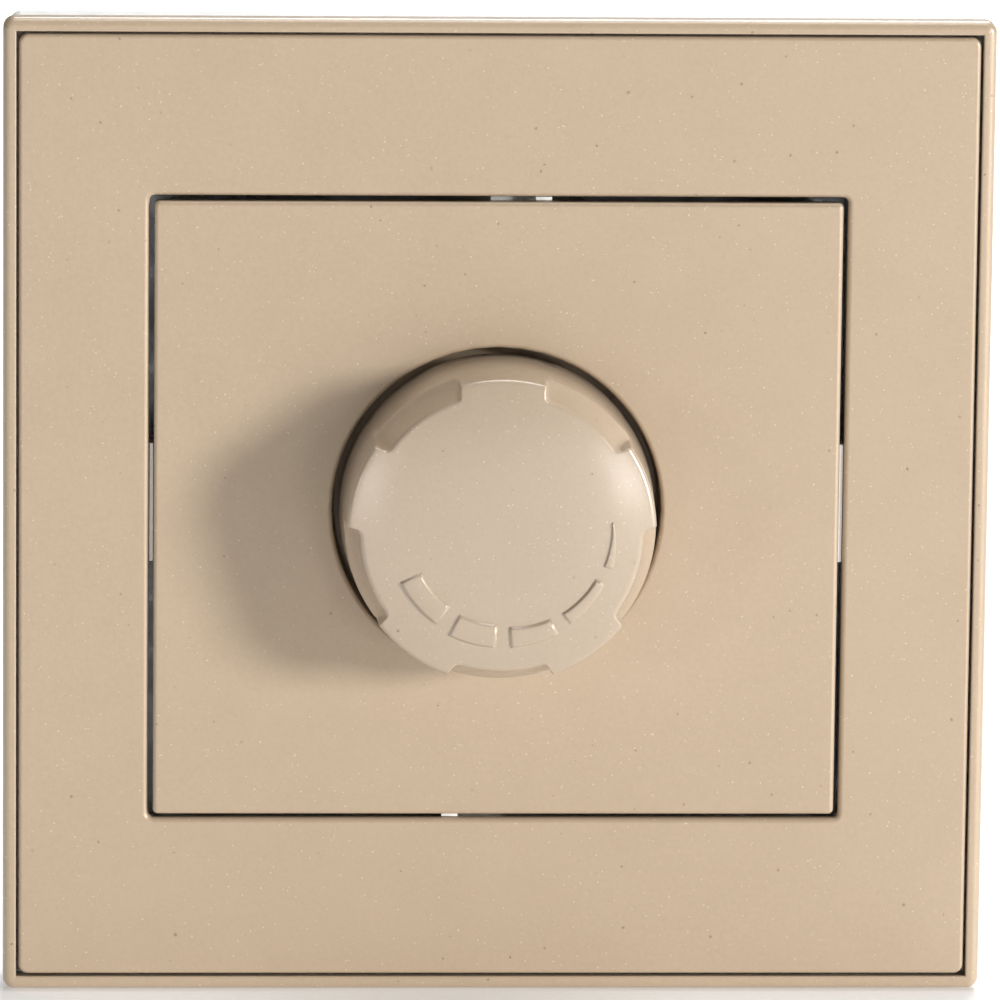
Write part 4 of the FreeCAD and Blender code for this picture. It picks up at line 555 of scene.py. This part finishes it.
class Knob:
    """The cap's section: a domed face, a rounded edge and a tapered wall, with or without a scoop."""

    def __init__(self):
        box = node_box("knob")
        self.foot = box["h"][0]
        self.crown = box["h"][1] - CROWN_MARGIN
        self.edge = box["h"][1] - CAD_DOME
        self.face_radius = FRONT_RADIUS - EDGE_ROUND

    def face(self, radius):
        """Height of the domed face."""
        return self.crown - DOME * (radius / self.face_radius) ** DOME_POWER

    def wall(self, h):
        """Radius of the tapered wall."""
        share = (h - self.foot) / (self.edge - EDGE_ROUND - self.foot)
        return BASE_RADIUS + (FRONT_RADIUS - BASE_RADIUS) * share

    def plain(self):
        """Radius and height down the section where there is no scoop: the face, the edge and the wall."""
        points = []
        lead = self.face_radius - SCOOP_INNER + FACE_LEAD
        for step in range(FACE_STEPS + 1):
            radius = SCOOP_INNER - FACE_LEAD + lead * step / FACE_STEPS
            points.append((radius, self.face(radius)))
        slope = math.atan(DOME * DOME_POWER / self.face_radius)
        span = 1 - math.sin(slope)
        for step in range(1, EDGE_STEPS + 1):
            angle = slope + (math.pi / 2 - slope) * step / EDGE_STEPS
            reach = (math.sin(angle) - math.sin(slope)) / span
            fall = (math.cos(slope) - math.cos(angle)) / math.cos(slope)
            points.append((self.face_radius + EDGE_ROUND * reach, self.edge - EDGE_ROUND * fall))
        top = self.edge - EDGE_ROUND
        for step in range(1, WALL_STEPS + 1):
            h = top + (self.foot - top) * (step / WALL_STEPS) ** WALL_CROWDING
            points.append((self.wall(h), h))
        return points

    def scooped(self, inner):
        """The section through a scoop, with as many points as plain: the face, a rounded lip, a hollow floor
        and the wall below it."""
        points = []
        reach = SCOOP_INNER - FACE_LEAD
        for step in range(7):
            radius = reach + (inner - reach) * step / 6
            points.append((radius, self.face(radius)))
        top = self.face(inner)
        for step in range(1, 6):
            angle = math.radians(LIP_TURN * step)
            fall = SCOOP_LIP * LIP_FALL * (1 - math.cos(angle))
            points.append((inner + SCOOP_LIP * math.sin(angle), top - fall))
        brink_radius, brink = points[-1]
        brink -= BRINK_DROP
        points.append((brink_radius + BRINK_OUT, brink))
        low = self.edge - SCOOP_DEPTH
        outer = self.wall(low)
        for step in range(1, FLOOR_STEPS + 1):
            share = step / FLOOR_DIVISIONS
            radius = brink_radius + BRINK_OUT + (outer - FLOOR_INSET - brink_radius - BRINK_OUT) * share
            bow = SCOOP_BOW * math.sin(math.pi * min(share * BOW_RATE, 1.0))
            points.append((radius, brink + (low + FLOOR_RISE - brink) * share - bow))
        points.append((outer - CORNER_INSET, low + CORNER_RISE))
        wall_top = low - SCOOP_FOOT_DROP
        points.append((self.wall(wall_top), wall_top))
        for step in range(1, LOWER_STEPS + 1):
            h = wall_top + (self.foot - low + SCOOP_FOOT_DROP) * step / LOWER_STEPS
            points.append((self.wall(h), h))
        return points


def smooth(value):
    value = min(max(value, 0.0), 1.0)
    return value * value * (3 - 2 * value)


def scoop_offset(angle):
    """Degrees from an angle to the middle of the nearest scoop, with their sign."""
    pitch = 360.0 / SCOOP_COUNT
    return (angle - SCOOP_FIRST + pitch / 2) % pitch - pitch / 2


def knob_angles():
    """Angles round the knob in degrees, close together at the scoops' ends."""
    angles = []
    pitch = 360.0 / SCOOP_COUNT
    for number in range(SCOOP_COUNT):
        middle = SCOOP_FIRST + number * pitch
        for end in (-1, 1):
            brink = middle + end * SCOOP_HALF
            for step in range(-END_STEPS, END_STEPS + 1):
                angles.append(brink + step * END_PITCH)
    angle = 0.0
    while angle < 360:
        if min(abs(scoop_offset(angle) - end * SCOOP_HALF) for end in (-1, 1)) > END_CLEAR:
            angles.append(angle)
        angle += PLAIN_PITCH
    return sorted(angle % 360 for angle in angles)


def scoop_share(angle):
    """How far the section at this angle belongs to a scoop, and the scoop's inner radius there."""
    to_end = math.radians(SCOOP_HALF - abs(scoop_offset(angle))) * SCOOP_INNER
    share = smooth((to_end + SCOOP_BLEND / 2) / SCOOP_BLEND)
    inner = SCOOP_INNER
    if to_end < SCOOP_CORNER:
        reach = min(max(SCOOP_CORNER - to_end, 0.0), SCOOP_CORNER)
        inner += SCOOP_CORNER - math.sqrt(max(SCOOP_CORNER ** 2 - reach ** 2, 0.0))
    return share, inner


def make_knob():
    knob = Knob()
    angles = knob_angles()
    plain = knob.plain()
    columns = []
    for angle in angles:
        share, inner = scoop_share(angle)
        if share > 0:
            scoop = knob.scooped(inner)
            column = [
                (pr + (sr - pr) * share, ph + (sh - ph) * share)
                for (pr, ph), (sr, sh) in zip(plain, scoop)
            ]
        else:
            column = plain
        columns.append(column)

    def loop_at(radius, h):
        turns = [math.radians(angle) for angle in angles]
        return [(radius * math.cos(turn), radius * math.sin(turn), h) for turn in turns]

    loops = []
    for radius in FACE_RADII:
        loops.append(loop_at(radius, knob.face(radius)))
    for row in range(len(plain)):
        loop = []
        for angle, column in zip(angles, columns):
            radius, h = column[row]
            turn = math.radians(angle)
            loop.append((radius * math.cos(turn), radius * math.sin(turn), h))
        loops.append(loop)
    under = knob.edge - FACE_DEPTH
    loops.append(loop_at(BASE_RADIUS - FOOT_CHAMFER, knob.foot))
    loops.append(loop_at(BASE_RADIUS - SHELL_WALL, knob.foot))
    low = knob.edge - SCOOP_DEPTH - SHELL_WALL
    loops.append(loop_at(knob.wall(low) - SHELL_WALL, low))
    loops.append(loop_at(SCOOP_INNER - SHELL_WALL + HOLLOW_MARGIN, low + HOLLOW_RISE))
    loops.append(loop_at(SCOOP_INNER - SHELL_WALL, under))
    loops.append(loop_at(BOSS_RADIUS, under))
    loops.append(loop_at(BOSS_RADIUS, BOSS_FOOT))

    def socket(h):
        loop = []
        for x, z, _ in loop_at(SOCKET_RADIUS, h):
            if z < SOCKET_FLAT:
                x = x * SOCKET_FLAT / z
                z = SOCKET_FLAT
            loop.append((x, z, h))
        return loop

    loops.append(socket(BOSS_FOOT))
    loops.append(socket(SOCKET_END))
    mesh = build_mesh("knob_cap", loops, ring=False, caps=(0, len(loops) - 1))
    piece = new_piece("knob_cap", mesh, "knob", knob_look)
    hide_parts("knob")
    keep_flats(piece)
    return knob


# Each mark: its first and last angle in degrees, its inner radius at each of them, and its outer radius.
MARKS = (
    (206.0, 235.0, 7.65, 7.65, 9.6),
    (243.0, 267.5, 7.85, 7.85, 9.9),
    (275.0, 299.5, 8.1, 8.45, 9.95),
    (307.0, 334.0, 8.6, 8.9, 9.8),
    (342.0, 366.0, 9.15, 9.4, 9.85),
)
MARK_STEPS = 14
MARK_RELIEF = 0.26
MARK_SLOPE = 0.2
MARK_SINK = 0.35
MARK_SKIRT = 0.06
MARK_DIP = 0.03
LEAST_WIDTH = 0.03

# The last mark narrows to a point: how much lower and steeper it is, and how its outer side closes in.
LAST_RELIEF = 0.8
LAST_SLOPE = 0.5
TAPER_POWER = 1.4
TAPER_WIDTH = 0.12
TAPER_INSET = 0.4


def mark_loop(knob, mark, tapers, inset, lift):
    """A loop round a mark, inset from its outline and lifted above the face."""
    start, end, inner_start, inner_end, outer = mark
    inset_angle = math.degrees(inset / outer)
    first = start + inset_angle
    final = end - inset_angle
    inside = []
    outside = []
    for step in range(MARK_STEPS + 1):
        share = step / MARK_STEPS
        angle = first + (final - first) * share
        inner = inner_start + (inner_end - inner_start) * share + inset
        far = outer - inset
        if tapers:
            far = outer + (inner_end - outer) * share ** TAPER_POWER + TAPER_WIDTH
            far -= inset * (1 - TAPER_INSET * share)
        inside.append((angle, min(inner, far - LEAST_WIDTH)))
        outside.append((angle, far))
    points = []
    for angle, radius in inside + outside[::-1]:
        turn = math.radians(angle)
        points.append((radius * math.cos(turn), radius * math.sin(turn), knob.face(radius) + lift))
    return points


def make_marks(knob):
    """The raised scale: five blocks that thin out round the face, with soft sloped sides."""
    for number, mark in enumerate(MARKS, start=1):
        tapers = number == len(MARKS)
        height = MARK_RELIEF * LAST_RELIEF if tapers else MARK_RELIEF
        slope = MARK_SLOPE * LAST_SLOPE if tapers else MARK_SLOPE
        section = (
            (-MARK_SKIRT, -MARK_SINK),
            (-MARK_SKIRT, -MARK_DIP),
            (0.0, height * 0.12),
            (slope * 0.5, height * 0.62),
            (slope * 0.8, height * 0.93),
            (slope * 1.15, height),
        )
        loops = [mark_loop(knob, mark, tapers, inset, lift) for inset, lift in section]
        name = f"scale_mark_{number}"
        mesh = build_mesh(name, loops, ring=False, strip_caps=(0, len(loops) - 1))
        keep_flats(new_piece(name, mesh, "knob", knob_look))


make_rim()
make_fascia()
make_centre_plate()
knob = make_knob()
make_marks(knob)


# ---------------------------------------------------------------- carried-over CAD nodes

WELD_GAP = 0.002
EDGE_ANGLE = 35

# Edge rounds of the pieces whose sharp edges would show.
BEVELS = {
    "back_frame": 0.2, "mounting_yoke": 0.12, "housing_front": 0.25, "housing_rear": 0.3,
    "claw_left": 0.1, "claw_right": 0.1, "claw_nut_left": 0.15, "claw_nut_right": 0.15,
    "bush_nut": 0.15, "terminal_cage_1": 0.12, "terminal_cage_2": 0.12, "terminal_cage_3": 0.12,
    "film_capacitor": 0.4, "timing_capacitor": 0.6, "triac": 0.15, "switch_case": 0.2,
    "heat_sink": 0.1, "pcb": 0.08, "housing_screws": 0.12, "claw_screw_left": 0.12, "claw_screw_right": 0.12,
    "terminal_screw_1": 0.12, "terminal_screw_2": 0.12, "terminal_screw_3": 0.12,
}
for node, width in BEVELS.items():
    piece = frame["nodes"][node]
    weld = piece.modifiers.new("weld", "WELD")
    weld.merge_threshold = WELD_GAP * MM
    bevel = piece.modifiers.new("edges", "BEVEL")
    bevel.width = width * MM
    bevel.segments = 2
    bevel.limit_method = "ANGLE"
    bevel.angle_limit = math.radians(EDGE_ANGLE)
    keep_flats(piece)


# ---------------------------------------------------------------- floor, light and camera

FLOOR_GAP = 0.0002
FLOOR_REACH = 3.0
FLOOR_GLOW = 0.24
WORLD_LIGHT = 0.05
WHITE = (1.0, 1.0, 1.0)
MIDDLE = (0.0, 0.0, 0.0)

# Each light: its name, place, target, diameter, power in watts and tint.
LIGHTS = (
    ("key", (2.04, -1.56, 0.36), MIDDLE, 0.6, 66.0, (1.0, 0.975, 0.95)),
    ("top_fill", (-0.1, -0.45, 0.75), MIDDLE, 0.5, 0.15, (0.97, 0.985, 1.0)),
    ("left_fill", (-0.62, -0.62, 0.06), MIDDLE, 0.08, 0.5, (1.0, 0.95, 0.88)),
    ("right_glint", (0.155, -0.414, -0.02), MIDDLE, 0.07, 0.12, WHITE),
    ("left_glint", (-0.13, -0.41, -0.02), MIDDLE, 0.06, 0.05, WHITE),
    ("overhead", (0.1, 0.05, 0.85), MIDDLE, 0.5, 3.4, WHITE),
    ("rear_top", (0.15, 0.75, 0.6), (0.0, 0.35, 0.0), 0.5, 7.0, WHITE),
)

CAMERA_PLACE = (-0.0354, -0.7779, 0.1466)
CAMERA_PITCH = 10.718
CAMERA_YAW = 2.656
CAMERA_ROLL = 0.615
CAMERA_LENS = 327.46


def make_floor():
    """A pale floor that the plate stands on."""
    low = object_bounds()[0].z - FLOOR_GAP
    corners = [(x * FLOOR_REACH, y * FLOOR_REACH, low) for x, y in ((-1, -1), (1, -1), (1, 1), (-1, 1))]
    mesh = bpy.data.meshes.new("floor")
    mesh.from_pydata(corners, [], [(0, 1, 2, 3)])
    floor = bpy.data.objects.new("floor", mesh)
    bpy.context.scene.collection.objects.link(floor)
    nodes = Nodes("floor")
    cloud = nodes.noise(3.0, 2.0)
    colour = nodes.mix(nodes.swing(cloud, 0.0, 1.0), (0.9, 0.9, 0.9), (0.93, 0.93, 0.93))
    rough = nodes.swing(cloud, 0.75, 0.85)
    look = nodes.finish(colour, rough, nodes.bump(cloud, 0.05, 0.1), Emission_Color=(*WHITE, 1.0),
                        Emission_Strength=FLOOR_GLOW)
    mesh.materials.append(look)


def area_light(name, place, target, size, power, tint):
    data = bpy.data.lights.new(name, "AREA")
    data.shape = "DISK"
    data.size = size
    data.energy = power
    data.color = tint
    light = bpy.data.objects.new(name, data)
    light.location = place
    light.rotation_mode = "QUATERNION"
    light.rotation_quaternion = (Vector(target) - Vector(place)).to_track_quat("-Z", "Y")
    bpy.context.scene.collection.objects.link(light)


def make_light():
    """A weak white world, seen by the camera as full white, and the lights."""
    world = bpy.data.worlds.new("studio")
    bpy.context.scene.world = world
    world.use_nodes = True
    tree = world.node_tree
    lighting = tree.nodes["Background"]
    lighting.inputs["Color"].default_value = (*WHITE, 1.0)
    lighting.inputs["Strength"].default_value = WORLD_LIGHT
    backdrop = tree.nodes.new("ShaderNodeBackground")
    backdrop.inputs["Color"].default_value = (*WHITE, 1.0)
    path = tree.nodes.new("ShaderNodeLightPath")
    choice = tree.nodes.new("ShaderNodeMixShader")
    tree.links.new(path.outputs["Is Camera Ray"], choice.inputs[0])
    tree.links.new(lighting.outputs[0], choice.inputs[1])
    tree.links.new(backdrop.outputs[0], choice.inputs[2])
    tree.links.new(choice.outputs[0], tree.nodes["World Output"].inputs["Surface"])
    for light in LIGHTS:
        area_light(*light)


def make_camera():
    pitch = math.radians(CAMERA_PITCH)
    yaw = math.radians(CAMERA_YAW)
    roll = math.radians(CAMERA_ROLL)
    forward = Vector((math.sin(yaw) * math.cos(pitch), math.cos(yaw) * math.cos(pitch), -math.sin(pitch)))
    level = Vector((math.cos(yaw), -math.sin(yaw), 0.0))
    raised = level.cross(forward)
    right = level * math.cos(roll) + raised * math.sin(roll)
    up = raised * math.cos(roll) - level * math.sin(roll)
    data = bpy.data.cameras.new("camera")
    data.sensor_width = 36.0
    data.lens = CAMERA_LENS
    data.clip_start = 0.01
    data.clip_end = 50.0
    camera = bpy.data.objects.new("camera", data)
    turn = Matrix((right, up, -forward)).transposed().to_4x4()
    camera.matrix_world = Matrix.Translation(CAMERA_PLACE) @ turn
    bpy.context.scene.collection.objects.link(camera)
    bpy.context.scene.camera = camera


make_floor()
make_light()
make_camera()
bpy.context.scene.view_settings.view_transform = "Standard"
